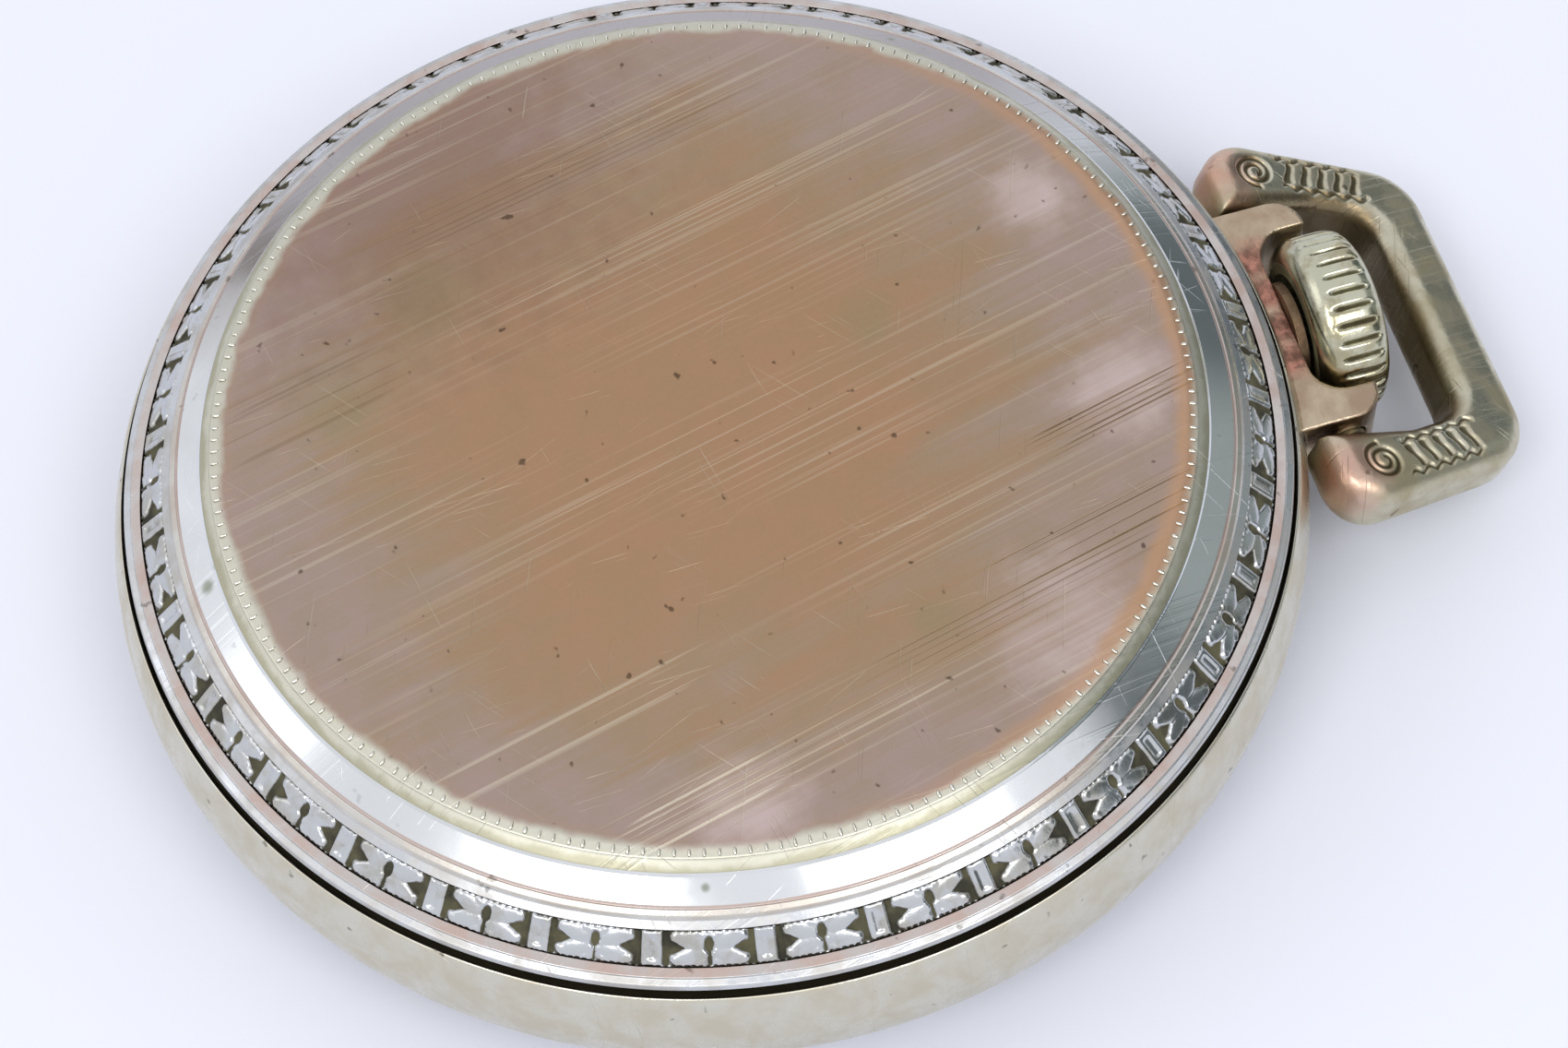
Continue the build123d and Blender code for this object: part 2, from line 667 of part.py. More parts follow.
def make_barrel_arbor():
    arbor = disc(0.9, drum_bottom - 0.02, drum_top + running, barrel)
    arbor += disc(hook_r, drum_bottom + 0.35, drum_top - 0.35, barrel)
    arbor += disc(arbor_hole_r, drum_top + running, bridge_top + 0.02, barrel)
    arbor += disc(0.8, bridge_top, ratchet_z + ratchet_t - 0.02, barrel)
    return arbor - disc(screw_r + set_fit, ratchet_z - 0.6, ratchet_z + 2, barrel)


def make_mainspring():
    z0, z1 = drum_bottom + 0.35, drum_top - 0.35
    return spiral_strip(hook_r + 0.15, drum_r - 0.5, 9, 0.18, z0, z1, barrel)


ratchet_phase = 0.0
crown_dir = math.degrees(math.atan2(crown_wheel_xy[1] - barrel[1], crown_wheel_xy[0] - barrel[0]))
crown_phase = mating_phase(ratchet_phase, ratchet_teeth, crown_teeth, crown_dir)


def make_ratchet_wheel():
    wheel = gear(ratchet_teeth, ratchet_module, ratchet_z, ratchet_z + ratchet_t, barrel, ratchet_phase, 0.8 + set_fit)
    return wheel


def make_ratchet_screw():
    return screw(barrel, ratchet_z + ratchet_t, 0.95, 2.2, 0.45)


def make_crown_wheel():
    top = ratchet_z + ratchet_t
    wheel = gear(crown_teeth, ratchet_module, ratchet_z, top, crown_wheel_xy, crown_phase, 1.1)
    root = ratchet_module * (crown_teeth / 2 - 1.05)
    skirt = ring(root, contrate_in, ratchet_z - contrate_depth, ratchet_z, crown_wheel_xy)
    for i in range(crown_teeth):
        a = crown_phase + (i + 0.5) * 360 / crown_teeth
        gap = bar(polar(crown_wheel_xy, contrate_in - 0.4, a), polar(crown_wheel_xy, root + 0.5, a), 0.42,
                  ratchet_z - contrate_depth - 1, ratchet_z - contrate_depth + 0.35)
        skirt -= gap
    return wheel + skirt


def make_crown_wheel_screw():
    post = disc(1.05, ratchet_z, ratchet_z + ratchet_t + 0.02, crown_wheel_xy)
    return post + screw(crown_wheel_xy, ratchet_z + ratchet_t + 0.02, 1.35, 2.0, 0.4)


click_dir = 115
ratchet_tip = ratchet_module * (ratchet_teeth / 2 + 0.8)
click_at = polar(barrel, ratchet_tip + 1.6, click_dir)


def make_click():
    nose = polar(barrel, ratchet_tip + 0.32, click_dir - 16)
    lever = bar(click_at, nose, 0.5, ratchet_z, ratchet_z + ratchet_t) + disc(1.0, ratchet_z, ratchet_z + ratchet_t, click_at)
    return lever - disc(0.55, ratchet_z - 1, ratchet_z + 1, click_at)


def make_click_screw():
    post = disc(screw_r, bridge_top - 0.85, ratchet_z + ratchet_t + running, click_at)
    return post + screw(click_at, ratchet_z + ratchet_t + running, 0.2, 0.8, 0.3)


def make_click_spring():
    """Flat wire spring that lies beside the click on the barrel bridge."""
    root = polar(click_at, 4.0, click_dir - 100)
    tip = polar(click_at, 1.3, click_dir - 55)
    z0, z1 = bridge_top, ratchet_z + ratchet_t - 0.1
    return bar(root, tip, 0.3, z0, z1) + disc(0.7, z0, z1, root)


# ---- going train -----------------------------------------------------------
centre_phase = 0.0
third_pinion_phase = mating_phase(centre_phase, centre_teeth, third_leaves, third_dir)
third_phase = 0.0
fourth_pinion_phase = mating_phase(third_phase, third_teeth, fourth_leaves, fourth_dir)
fourth_phase = 0.0
escape_pinion_phase = mating_phase(fourth_phase, fourth_teeth, escape_leaves, escape_dir)


def make_centre_wheel():
    return spoked_wheel(centre_teeth, centre_module, centre_wheel_z, centre, centre_phase, 0.7, 0.9)


def make_centre_arbor():
    arbor = gear(centre_leaves, barrel_module, centre_pinion_z, centre_wheel_z - 0.02, centre, centre_pinion_phase)
    arbor += disc(0.7 - set_fit, centre_wheel_z - 0.02, centre_wheel_z + wheel_t + 0.05, centre)
    arbor += disc(arbor_r, centre_wheel_z, bridge_top - jewel_t - 0.05, centre)
    arbor += disc(pivot_r, bridge_top - 1, bridge_top, centre)
    return arbor + disc(0.45, minute_hand_z, centre_pinion_z + 0.1, centre)


def arbor_with_pinion(at, leaves, module, z0, length, phase, seat_z, low, high):
    """Pinion and arbor of one piece, with pivots in the jewels at low and high."""
    part = gear(leaves, module, z0, z0 + length, at, phase)
    part += disc(arbor_r, low + running, high - jewel_t - running, at)
    part += disc(0.5 - set_fit, seat_z, seat_z + wheel_t, at)
    return part + disc(pivot_r, low - jewel_t, high - 0.02, at)


def make_third_wheel():
    return spoked_wheel(third_teeth, third_module, third_wheel_z, third, third_phase, 0.5, 0.7)


def make_third_pinion():
    return arbor_with_pinion(third, third_leaves, centre_module, third_pinion_z, 0.5, third_pinion_phase,
                             third_wheel_z, plate_top, bridge_top)


def make_fourth_wheel():
    return spoked_wheel(fourth_teeth, fourth_module, fourth_wheel_z, fourth, fourth_phase, 0.5, 0.6)


def make_fourth_pinion():
    part = arbor_with_pinion(fourth, fourth_leaves, third_module, fourth_pinion_z, 0.6, fourth_pinion_phase,
                             fourth_wheel_z, plate_top, bridge_top)
    return part + disc(pivot_r, second_hand_z, plate_top, fourth)


def make_escape_wheel():
    points = []
    pitch = 360 / escape_teeth
    for i in range(escape_teeth):
        a = i * pitch
        points += [polar((0, 0), r, a + da) for r, da in ((2.75, 0), (escape_r, 9), (escape_r, 12.5), (2.95, 11))]
    z0 = escape_wheel_z
    wheel = Pos(escape[0], escape[1], z0) * extrude(make_face(Polyline(*points, close=True)), wheel_t)
    wheel -= disc(0.5, z0 - 1, z0 + 1, escape)
    return wheel - spoke_windows(4, 1.2, 2.3, 0.5, z0 - 1, z0 + 1, escape, 20)


def make_escape_pinion():
    return arbor_with_pinion(escape, escape_leaves, fourth_module, escape_pinion_z, 0.5, escape_pinion_phase,
                             escape_wheel_z, plate_top, pallet_bridge_z + pallet_bridge_t)


stone_spread = 30
stone_r = escape_r + 0.1


def stone_points(extra=0.0):
    return [polar(escape, stone_r + 0.25 + extra, pallet_dir + side * stone_spread) for side in (-1, 1)]


def make_pallet_fork():
    z0, z1 = fork_z, fork_z + wheel_t
    fork = disc(0.6, z0, z1, pallet)
    for point in stone_points(0.1):
        fork += bar(pallet, point, 0.55, z0, z1)
    neck = polar(pallet, balance_dist - 1.75, balance_dir)
    fork += bar(pallet, neck, 0.5, z0, z1)
    for side in (-1, 1):
        fork += bar(neck, polar(balance, 1.32, balance_dir + 180 + side * 20), 0.2, z0, z1)
    fork += disc(arbor_r, plate_top + running, pallet_bridge_z + running, pallet)
    return fork + disc(pivot_r, plate_top - jewel_t, pallet_bridge_z + pallet_bridge_t - 0.02, pallet)


def make_pallet_stones():
    stones = []
    for side, point in zip((-1, 1), stone_points()):
        turn = Rot(0, 0, pallet_dir + side * stone_spread)
        stone = Pos(point[0], point[1], 0) * turn * block(-0.25, 0.3, -0.18, 0.18, escape_wheel_z - 0.05, fork_z)
        stones.append(stone)
    return Compound(children=stones)


screw_pairs = 7


def make_balance_wheel():
    z1 = balance_z + balance_t
    rim = ring(balance_r, balance_r - 0.55, balance_z, z1, balance)
    for a in (30, 210):
        rim += bar(balance, polar(balance, balance_r - 0.3, a), 0.8, balance_z + 0.25, z1 - 0.25)
    rim += disc(0.8, balance_z + 0.15, z1 - 0.1, balance)
    for i in range(2 * screw_pairs):
        rim -= radial_rod(i, balance_r - 0.4, balance_r + 0.5, 0.16)
    return rim - disc(arbor_r + set_fit, balance_z - 1, z1 + 1, balance)


def radial_rod(index, r0, r1, r):
    """Rod that points out of the balance rim at one screw's place."""
    turn = Rot(0, 0, 17 + index * 180 / screw_pairs)
    rod = Pos((r0 + r1) / 2, 0, 0) * Rot(0, 90, 0) * Cylinder(r, r1 - r0)
    return Pos(balance[0], balance[1], balance_z + balance_t / 2) * turn * rod


def make_balance_screws():
    screws = []
    for i in range(2 * screw_pairs):
        shank = radial_rod(i, balance_r - 0.35, balance_r + 0.1, 0.15)
        screws.append(shank + radial_rod(i, balance_r + 0.03, balance_r + 0.65, 0.34))
    return Compound(children=screws)


def make_balance_staff():
    top = cock_z + cock_t
    staff = disc(arbor_r, plate_top + running, top - jewel_t - running, balance)
    return staff + disc(pivot_r, plate_top - jewel_t, top - 0.02, balance)


def make_roller_table():
    table = ring(1.3, arbor_r + set_fit, roller_z, roller_z + 0.2, balance)
    pin_at = polar(balance, 0.95, balance_dir + 180)
    return table + disc(0.12, fork_z, roller_z, pin_at)


stud_r = 0.35
hairspring_r = 4.3
stud_at = polar(balance, hairspring_r, -70.5)


def make_hairspring():
    spring = spiral_strip(0.75, hairspring_r - 0.3, 10, 0.07, hairspring_z, hairspring_z + 0.15, balance, -70.5)
    return spring + ring(0.78, arbor_r + set_fit, hairspring_z, hairspring_z + 0.15, balance)


def make_hairspring_stud():
    return disc(stud_r, hairspring_z + 0.16, cock_z + cock_t, stud_at)


def make_regulator():
    z0 = cock_z + cock_t + 0.01
    index = ring(1.3, 0.8, z0, z0 + 0.25, balance)
    index += bar(polar(balance, 1.1, -40), polar(balance, 4.6, -40), 0.4, z0, z0 + 0.25)
    return index - disc(0.8, z0 - 1, z0 + 1, balance)


# ---- keyless work ------------------------------------------------------
def make_winding_pinion():
    pinion = gear(winding_leaves, 2 * (winding_r - 0.2) / winding_leaves, 0, pinion_len, (0, 0), 90)
    pinion = Pos(0, pinion_y, stem_z) * Rot(-90, 0, 0) * pinion
    return pinion - stem_bore(stem_neck_r + running, pinion_y - 1, pinion_y + pinion_len + 1)


def make_clutch_wheel():
    clutch = stem_bore(clutch_r, clutch_y, clutch_y + clutch_len)
    groove = stem_bore(clutch_r + 1, clutch_y + 0.7, clutch_y + 1.2) - stem_bore(clutch_r - 0.35, clutch_y, clutch_y + 2)
    clutch -= groove
    half = stem_square / 2 + running
    return clutch - block(-half, half, clutch_y - 1, clutch_y + clutch_len + 1, stem_z - half, stem_z + half)


lever_level = plate_bottom + 0.08
lever_t = 0.35
lever_post_r = 0.35
setting_pivot = (4.6, block_y - 0.8)
clutch_pivot = (5.2, clutch_y - 1.6)


def make_setting_lever():
    z1 = lever_level + lever_t
    end = (stem_r + 1.0, block_y - 0.4)
    lever = bar(setting_pivot, end, 0.8, lever_level, z1) + disc(0.8, lever_level, z1, setting_pivot)
    lever += bar(setting_pivot, (setting_pivot[0] + 0.6, setting_pivot[1] - 1.5), 0.7, lever_level, z1)
    return lever + disc(lever_post_r, z1, z1 + 0.4, setting_pivot)


def make_clutch_lever():
    z1 = lever_level + lever_t
    end = (clutch_r + 0.7, clutch_y + 0.3)
    lever = bar(clutch_pivot, end, 0.7, lever_level, z1) + disc(0.75, lever_level, z1, clutch_pivot)
    return lever + disc(lever_post_r, z1, z1 + 0.4, clutch_pivot)


# ---- motion work, dial, hands ---------------------------------------------------
cannon_phase = 0.0
minute_phase = mating_phase(cannon_phase, cannon_leaves, minute_teeth, minute_dir)
minute_pinion_phase = 0.0
hour_phase = mating_phase(minute_pinion_phase, minute_leaves, hour_teeth, minute_dir + 180)
setting_dir = math.degrees(math.atan2(setting[1] - minute[1], setting[0] - minute[0]))
setting_phase = mating_phase(minute_phase, minute_teeth, setting_teeth, setting_dir)
hour_module = 2 * mesh_distance(minute_module, cannon_leaves, minute_teeth) / (minute_leaves + hour_teeth)
motion_t = 0.18
minute_wheel_z = motion_level + motion_t + 0.06
cannon_r = 0.85
hour_tube_r = 1.25


def make_cannon_pinion():
    cannon = disc(cannon_r, minute_hand_z, minute_wheel_z, centre)
    cannon += gear(cannon_leaves, minute_module, minute_wheel_z - 0.02, minute_wheel_z + motion_t + 0.02, centre, cannon_phase)
    return cannon - disc(0.45 + set_fit, minute_hand_z - 1, recess_top + 1, centre)


def make_minute_wheel():
    z1 = minute_wheel_z + motion_t
    wheel = gear(minute_teeth, minute_module, minute_wheel_z, z1, minute, minute_phase)
    wheel += gear(minute_leaves, hour_module, motion_level, minute_wheel_z, minute, minute_pinion_phase)
    return wheel - disc(0.55 + running, motion_level - 1, z1 + 1, minute)


def make_hour_wheel():
    wheel = gear(hour_teeth, hour_module, motion_level, motion_level + motion_t, centre, hour_phase)
    wheel += disc(hour_tube_r, hour_hand_z, motion_level + motion_t, centre)
    return wheel - disc(cannon_r + running, hour_hand_z - 1, motion_level + 1, centre)


def make_setting_wheel():
    z1 = minute_wheel_z + motion_t
    return gear(setting_teeth, minute_module, minute_wheel_z, z1, setting, setting_phase, 0.55 + running)


dial_hole_r = hour_tube_r + 0.15
seconds_dial_r = 5.4


def make_dial():
    dial = disc(dial_r, dial_bottom, dial_top)
    dial -= disc(seconds_dial_r, dial_bottom - 1, dial_bottom + 0.12, fourth)
    dial -= disc(dial_hole_r, dial_bottom - 1, dial_top + 1, centre)
    dial -= disc(pivot_r + 0.15, dial_bottom - 1, dial_top + 1, fourth)
    for direction in dial_feet:
        dial += disc(foot_post_r, dial_top, plate_bottom + 0.9, polar(centre, foot_circle + 0.7, direction))
    return dial


def spade_hand(at, direction, length, tail, width, z0, hub_out, hub_in):
    """Tapered hand with a spade near its tip."""
    half = width / 2
    spade = 0.72 * length
    outline = [(0, -half), (spade - 1.2, -half * 0.55), (spade, -half * 2.2), (spade + 0.9, -half * 1.6)]
    outline += [(length, 0)] + [(x, -y) for x, y in reversed(outline)]
    hand = Pos(0, 0, z0) * extrude(make_face(Polyline(*outline, close=True)), hand_t)
    hand += bar((0, 0), (-tail, 0), width, z0, z0 + hand_t) + disc(hub_out, z0, z0 + hand_t)
    hand -= disc(hub_in, z0 - 1, z0 + 1)
    return Pos(at[0], at[1], 0) * Rot(0, 0, direction) * hand


# ten past ten, with twelve towards the pendant
hour_hand_dir = 90 + 305
minute_hand_dir = 90 + 60


def make_hour_hand():
    return spade_hand(centre, hour_hand_dir, 10.5, 2.2, 0.9, hour_hand_z, 1.9, hour_tube_r + set_fit)


def make_minute_hand():
    return spade_hand(centre, minute_hand_dir, 15.6, 3.0, 0.75, minute_hand_z, 1.5, cannon_r + set_fit)


def make_second_hand():
    hand = bar(fourth, polar(fourth, 4.3, 0), 0.16, second_hand_z, second_hand_z + hand_t)
    hand += bar(fourth, polar(fourth, 1.6, 180), 0.3, second_hand_z, second_hand_z + hand_t)
    hand += disc(0.45, second_hand_z, second_hand_z + hand_t, fourth)
    return hand - disc(pivot_r + set_fit, second_hand_z - 1, second_hand_z + 1, fourth)


nodes = {
    "back_cover": make_back_cover,
    "case_band": make_case_band,
    "front_bezel": make_front_bezel,
    "crystal": make_crystal,
    "pendant": make_pendant,
    "pendant_sleeve": make_pendant_sleeve,
    "crown": make_crown,
    "stem": make_stem,
    "bow": make_bow,
    "case_screws": make_case_screws,
    "pillar_plate": make_pillar_plate,
    "barrel_bridge": make_barrel_bridge,
    "train_bridge": make_train_bridge,
    "balance_cock": make_balance_cock,
    "pallet_bridge": make_pallet_bridge,
    "bridge_screws": make_bridge_screws,
    "train_jewels": make_train_jewels,
    "mainspring_barrel": make_mainspring_barrel,
    "barrel_cover": make_barrel_cover,
    "barrel_arbor": make_barrel_arbor,
    "mainspring": make_mainspring,
    "ratchet_wheel": make_ratchet_wheel,
    "ratchet_screw": make_ratchet_screw,
    "crown_wheel": make_crown_wheel,
    "crown_wheel_screw": make_crown_wheel_screw,
    "click": make_click,
    "click_screw": make_click_screw,
    "click_spring": make_click_spring,
    "centre_wheel": make_centre_wheel,
    "centre_arbor": make_centre_arbor,
    "third_wheel": make_third_wheel,
    "third_pinion": make_third_pinion,
    "fourth_wheel": make_fourth_wheel,
    "fourth_pinion": make_fourth_pinion,
    "escape_wheel": make_escape_wheel,
    "escape_pinion": make_escape_pinion,
    "pallet_fork": make_pallet_fork,
    "pallet_stones": make_pallet_stones,
    "balance_wheel": make_balance_wheel,
    "balance_screws": make_balance_screws,
    "balance_staff": make_balance_staff,
    "roller_table": make_roller_table,
    "hairspring": make_hairspring,
    "hairspring_stud": make_hairspring_stud,
    "regulator": make_regulator,
    "winding_pinion": make_winding_pinion,
    "clutch_wheel": make_clutch_wheel,
    "setting_lever": make_setting_lever,
    "clutch_lever": make_clutch_lever,
    "setting_wheel": make_setting_wheel,
    "cannon_pinion": make_cannon_pinion,
    "minute_wheel": make_minute_wheel,
    "hour_wheel": make_hour_wheel,
    "dial": make_dial,
    "hour_hand": make_hour_hand,
    "minute_hand": make_minute_hand,
    "second_hand": make_second_hand,
}

os.makedirs("parts", exist_ok=True)
for name, make in nodes.items():
    export_step(make(), f"parts/{name}.step")
print("wrote", len(nodes), "parts")
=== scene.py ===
import json
import math
import bmesh
import bpy
import numpy as np
from mathutils import Matrix, Vector


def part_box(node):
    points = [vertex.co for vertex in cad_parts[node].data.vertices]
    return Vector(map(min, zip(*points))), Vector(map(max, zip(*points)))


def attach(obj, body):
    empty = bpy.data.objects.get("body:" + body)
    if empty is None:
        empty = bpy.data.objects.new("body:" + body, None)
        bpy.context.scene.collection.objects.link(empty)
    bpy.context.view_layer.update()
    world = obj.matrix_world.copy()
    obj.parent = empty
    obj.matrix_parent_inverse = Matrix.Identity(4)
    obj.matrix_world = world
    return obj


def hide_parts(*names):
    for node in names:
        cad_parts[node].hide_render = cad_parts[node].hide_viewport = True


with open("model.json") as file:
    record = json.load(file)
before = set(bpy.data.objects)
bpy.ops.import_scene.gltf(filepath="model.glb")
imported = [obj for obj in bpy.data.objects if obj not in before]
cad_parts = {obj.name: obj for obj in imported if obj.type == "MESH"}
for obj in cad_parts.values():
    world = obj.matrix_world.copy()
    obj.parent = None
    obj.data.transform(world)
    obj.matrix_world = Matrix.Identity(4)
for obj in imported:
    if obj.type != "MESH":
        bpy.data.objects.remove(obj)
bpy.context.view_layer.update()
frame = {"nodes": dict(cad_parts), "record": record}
mm = 0.001
nodes = frame["nodes"]
print("frame loaded with", len(nodes), "nodes")


def srgb(r, g, b):
    def lin(v):
        v /= 255
        return v / 12.92 if v <= 0.04045 else ((v + 0.055) / 1.055) ** 2.4

    return (lin(r), lin(g), lin(b), 1)


def makeObject(name, verts, faces, body=None, smooth=40):
    mesh = bpy.data.meshes.new(name)
    mesh.from_pydata([tuple(v) for v in verts], [], faces)
    mesh.validate()
    mesh.update()
    for poly in mesh.polygons:
        poly.use_smooth = True
    if smooth:
        mesh.set_sharp_from_angle(angle=math.radians(smooth))
    obj = bpy.data.objects.new(name, mesh)
    bpy.context.scene.collection.objects.link(obj)
    if body:
        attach(obj, body)
    return obj


def setMaterial(obj, *materials):
    obj.data.materials.clear()
    for material in materials:
        obj.data.materials.append(material)


def fixNormals(obj):
    bm = bmesh.new()
    bm.from_mesh(obj.data)
    bmesh.ops.recalc_face_normals(bm, faces=bm.faces)
    bm.to_mesh(obj.data)
    bm.free()


# closed outline with its corners rounded; each point is (radius, height, corner radius, zone)
def roundOutline(points):
    out = []
    count = len(points)
    for i, (x, y, corner, zone) in enumerate(points):
        if corner <= 0:
            out.append((x, y, zone))
            continue
        p = np.array((x, y))
        before = np.array(points[i - 1][:2]) - p
        after = np.array(points[(i + 1) % count][:2]) - p
        cut = min(corner, 0.4 * np.linalg.norm(before), 0.4 * np.linalg.norm(after))
        a = p + before / np.linalg.norm(before) * cut
        b = p + after / np.linalg.norm(after) * cut
        lead = p + before / np.linalg.norm(before) * cut * 1.5
        trail = p + after / np.linalg.norm(after) * cut * 1.5
        previousZone = points[i - 1][3]
        out.append((*lead, previousZone))
        for t in (0, 0.33, 0.67, 1):
            q = (1 - t) ** 2 * a + 2 * t * (1 - t) * p + t * t * b
            out.append((*q, previousZone if t < 0.5 else zone))
        out.append((*trail, zone))
    return out


# turned piece about the case axis; points run round the section, those on the axis have radius 0
def latheObject(name, outline, segments, body, materials, smooth=50):
    verts, rings, faces, zones = [], [], [], []
    for r, z, zone in outline:
        if r < 1e-6:
            rings.append([len(verts)] * segments)
            verts.append((0, 0, z * mm))
            continue
        start = len(verts)
        angles = np.arange(segments) * 2 * math.pi / segments
        verts += list(zip(r * mm * np.cos(angles), r * mm * np.sin(angles), [z * mm] * segments))
        rings.append(list(range(start, start + segments)))
    count = len(rings)
    for i in range(count):
        a, b = rings[i], rings[(i + 1) % count]
        if a[0] == a[1] and b[0] == b[1]:
            continue
        for k in range(segments):
            n = (k + 1) % segments
            corner = [a[k], a[n], b[n], b[k]]
            faces.append([v for j, v in enumerate(corner) if v not in corner[:j]])
            zones.append(outline[i][2])
    obj = makeObject(name, verts, faces, None, smooth)
    setMaterial(obj, *materials)
    for poly, zone in zip(obj.data.polygons, zones):
        poly.material_index = zone
    fixNormals(obj)
    if body:
        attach(obj, body)
    return obj


class Net:
    def __init__(self, tree):
        self.tree = tree

    def add(self, kind, **values):
        node = self.tree.nodes.new(kind)
        for key, value in values.items():
            if hasattr(node, key):
                setattr(node, key, value)
            else:
                node.inputs[key].default_value = value
        return node

    def link(self, a, b):
        self.tree.links.new(a, b)
        return b

    def feed(self, socket, value):
        if isinstance(value, (int, float, tuple)):
            socket.default_value = value
        else:
            self.tree.links.new(value, socket)

    def math(self, operation, a, b=0.0, clamp=False):
        node = self.tree.nodes.new("ShaderNodeMath")
        node.operation = operation
        node.use_clamp = clamp
        self.feed(node.inputs[0], a)
        self.feed(node.inputs[1], b)
        return node.outputs[0]

    def times(self, a, b, clamp=False):
        return self.math("MULTIPLY", a, b, clamp)

    def plus(self, a, b):
        return self.math("ADD", a, b)

    def minus(self, a, b):
        return self.math("SUBTRACT", a, b)

    def ramp(self, value, low, high, outLow=0.0, outHigh=1.0):
        node = self.tree.nodes.new("ShaderNodeMapRange")
        node.interpolation_type = "SMOOTHSTEP"
        self.feed(node.inputs["Value"], value)
        for key, number in (("From Min", low), ("From Max", high), ("To Min", outLow), ("To Max", outHigh)):
            self.feed(node.inputs[key], number)
        return node.outputs["Result"]

    def mix(self, factor, a, b, mode="MIX"):
        node = self.tree.nodes.new("ShaderNodeMix")
        node.data_type = "RGBA"
        node.blend_type = mode
        self.feed(node.inputs[0], factor)
        self.feed(node.inputs[6], a)
        self.feed(node.inputs[7], b)
        return node.outputs[2]

    def noise(self, vector, scale, detail=2.0, rough=0.5, distortion=0.0):
        node = self.tree.nodes.new("ShaderNodeTexNoise")
        self.link(vector, node.inputs["Vector"])
        node.inputs["Scale"].default_value = scale
        node.inputs["Detail"].default_value = detail
        node.inputs["Roughness"].default_value = rough
        node.inputs["Distortion"].default_value = distortion
        return node.outputs["Fac"]

    def stretch(self, vector, turn, scale, shift=(0, 0, 0)):
        node = self.tree.nodes.new("ShaderNodeMapping")
        node.vector_type = "POINT"
        self.link(vector, node.inputs["Vector"])
        node.inputs["Rotation"].default_value = (0, 0, math.radians(turn))
        node.inputs["Location"].default_value = shift
        scaled = self.tree.nodes.new("ShaderNodeVectorMath")
        scaled.operation = "MULTIPLY"
        self.link(node.outputs[0], scaled.inputs[0])
        scaled.inputs[1].default_value = scale
        return scaled.outputs[0]


def newGroup(name, inputs, outputs):
    group = bpy.data.node_groups.new(name, "ShaderNodeTree")
    for label, kind, value in inputs:
        socket = group.interface.new_socket(name=label, in_out="INPUT", socket_type=kind)
        if value is not None:
            socket.default_value = value
    for label, kind in outputs:
        group.interface.new_socket(name=label, in_out="OUTPUT", socket_type=kind)
    net = Net(group)
    net.source = group.nodes.new("NodeGroupInput").outputs
    net.sink = group.nodes.new("NodeGroupOutput").inputs
    return group, net


# soft clouds of tarnish, fine grain and small dark pits
def buildTarnish():
    group, net = newGroup(
        "tarnish",
        [("Vector", "NodeSocketVector", None), ("Cloud Size", "NodeSocketFloat", 1.0)],
        [("Clouds", "NodeSocketFloat"), ("Grain", "NodeSocketFloat"), ("Pits", "NodeSocketFloat")],
    )
    vector = net.source["Vector"]
    scaled = net.add("ShaderNodeVectorMath", operation="SCALE")
    net.link(vector, scaled.inputs[0])
    net.link(net.source["Cloud Size"], scaled.inputs["Scale"])
    clouds = net.noise(scaled.outputs[0], 190, 5, 0.6, 0.3)
    net.link(net.ramp(clouds, 0.32, 0.68), net.sink["Clouds"])
    net.link(net.noise(vector, 4200, 3, 0.6), net.sink["Grain"])
    pits = net.noise(vector, 1250, 2, 0.5)
    net.link(net.ramp(pits, 0.70, 0.76), net.sink["Pits"])
    return group


# bundles of straight parallel scratches, and loose hairlines every way
def buildScratches():
    group, net = newGroup(
        "scratches",
        [("Vector", "NodeSocketVector", None), ("Bundle", "NodeSocketFloat", 1.0)],
        [("Bundles", "NodeSocketFloat"), ("Hairlines", "NodeSocketFloat"), ("Height", "NodeSocketFloat")],
    )
    vector = net.source["Vector"]
    lines = net.noise(net.stretch(vector, -103.6, (30, 4400, 1)), 1.0, 2, 0.6)
    patch = net.noise(net.stretch(vector, -103.6, (40, 210, 1)), 1.0, 2, 0.5)
    fine = net.times(net.ramp(lines, 0.53, 0.62), net.ramp(patch, 0.42, 0.62))
    bundle = net.times(fine, net.source["Bundle"], True)
    hair = None
    for turn, seed in ((20, 0.11), (64, 0.23), (-38, 0.37), (-12, 0.51), (88, 0.67)):
        thread = net.noise(net.stretch(vector, turn, (130, 9000, 1), (seed, seed, 0)), 1.0, 1, 0.4)
        spot = net.noise(net.stretch(vector, turn, (300, 460, 1), (seed, 0, 0)), 1.0, 1, 0.4)
        mark = net.times(net.ramp(thread, 0.71, 0.74), net.ramp(spot, 0.52, 0.60))
        hair = mark if hair is None else net.math("MAXIMUM", hair, mark)
    net.link(bundle, net.sink["Bundles"])
    net.link(hair, net.sink["Hairlines"])
    height = net.times(net.math("MAXIMUM", bundle, hair), -1.0)
    net.link(height, net.sink["Height"])
    return group


# distance from the case axis and direction round it, in millimetres and degrees
def buildPlace():
    group, net = newGroup(
        "placeOnCase",
        [("Vector", "NodeSocketVector", None)],
        [("Radius", "NodeSocketFloat"), ("Turn", "NodeSocketFloat")],
    )
    split = net.add("ShaderNodeSeparateXYZ")
    net.link(net.source["Vector"], split.inputs[0])
    x, y = split.outputs[0], split.outputs[1]
    square = net.plus(net.times(x, x), net.times(y, y))
    net.link(net.times(net.math("SQRT", square), 1000.0), net.sink["Radius"])
    net.link(net.times(net.math("ARCTAN2", y, x), 180 / math.pi), net.sink["Turn"])
    return group


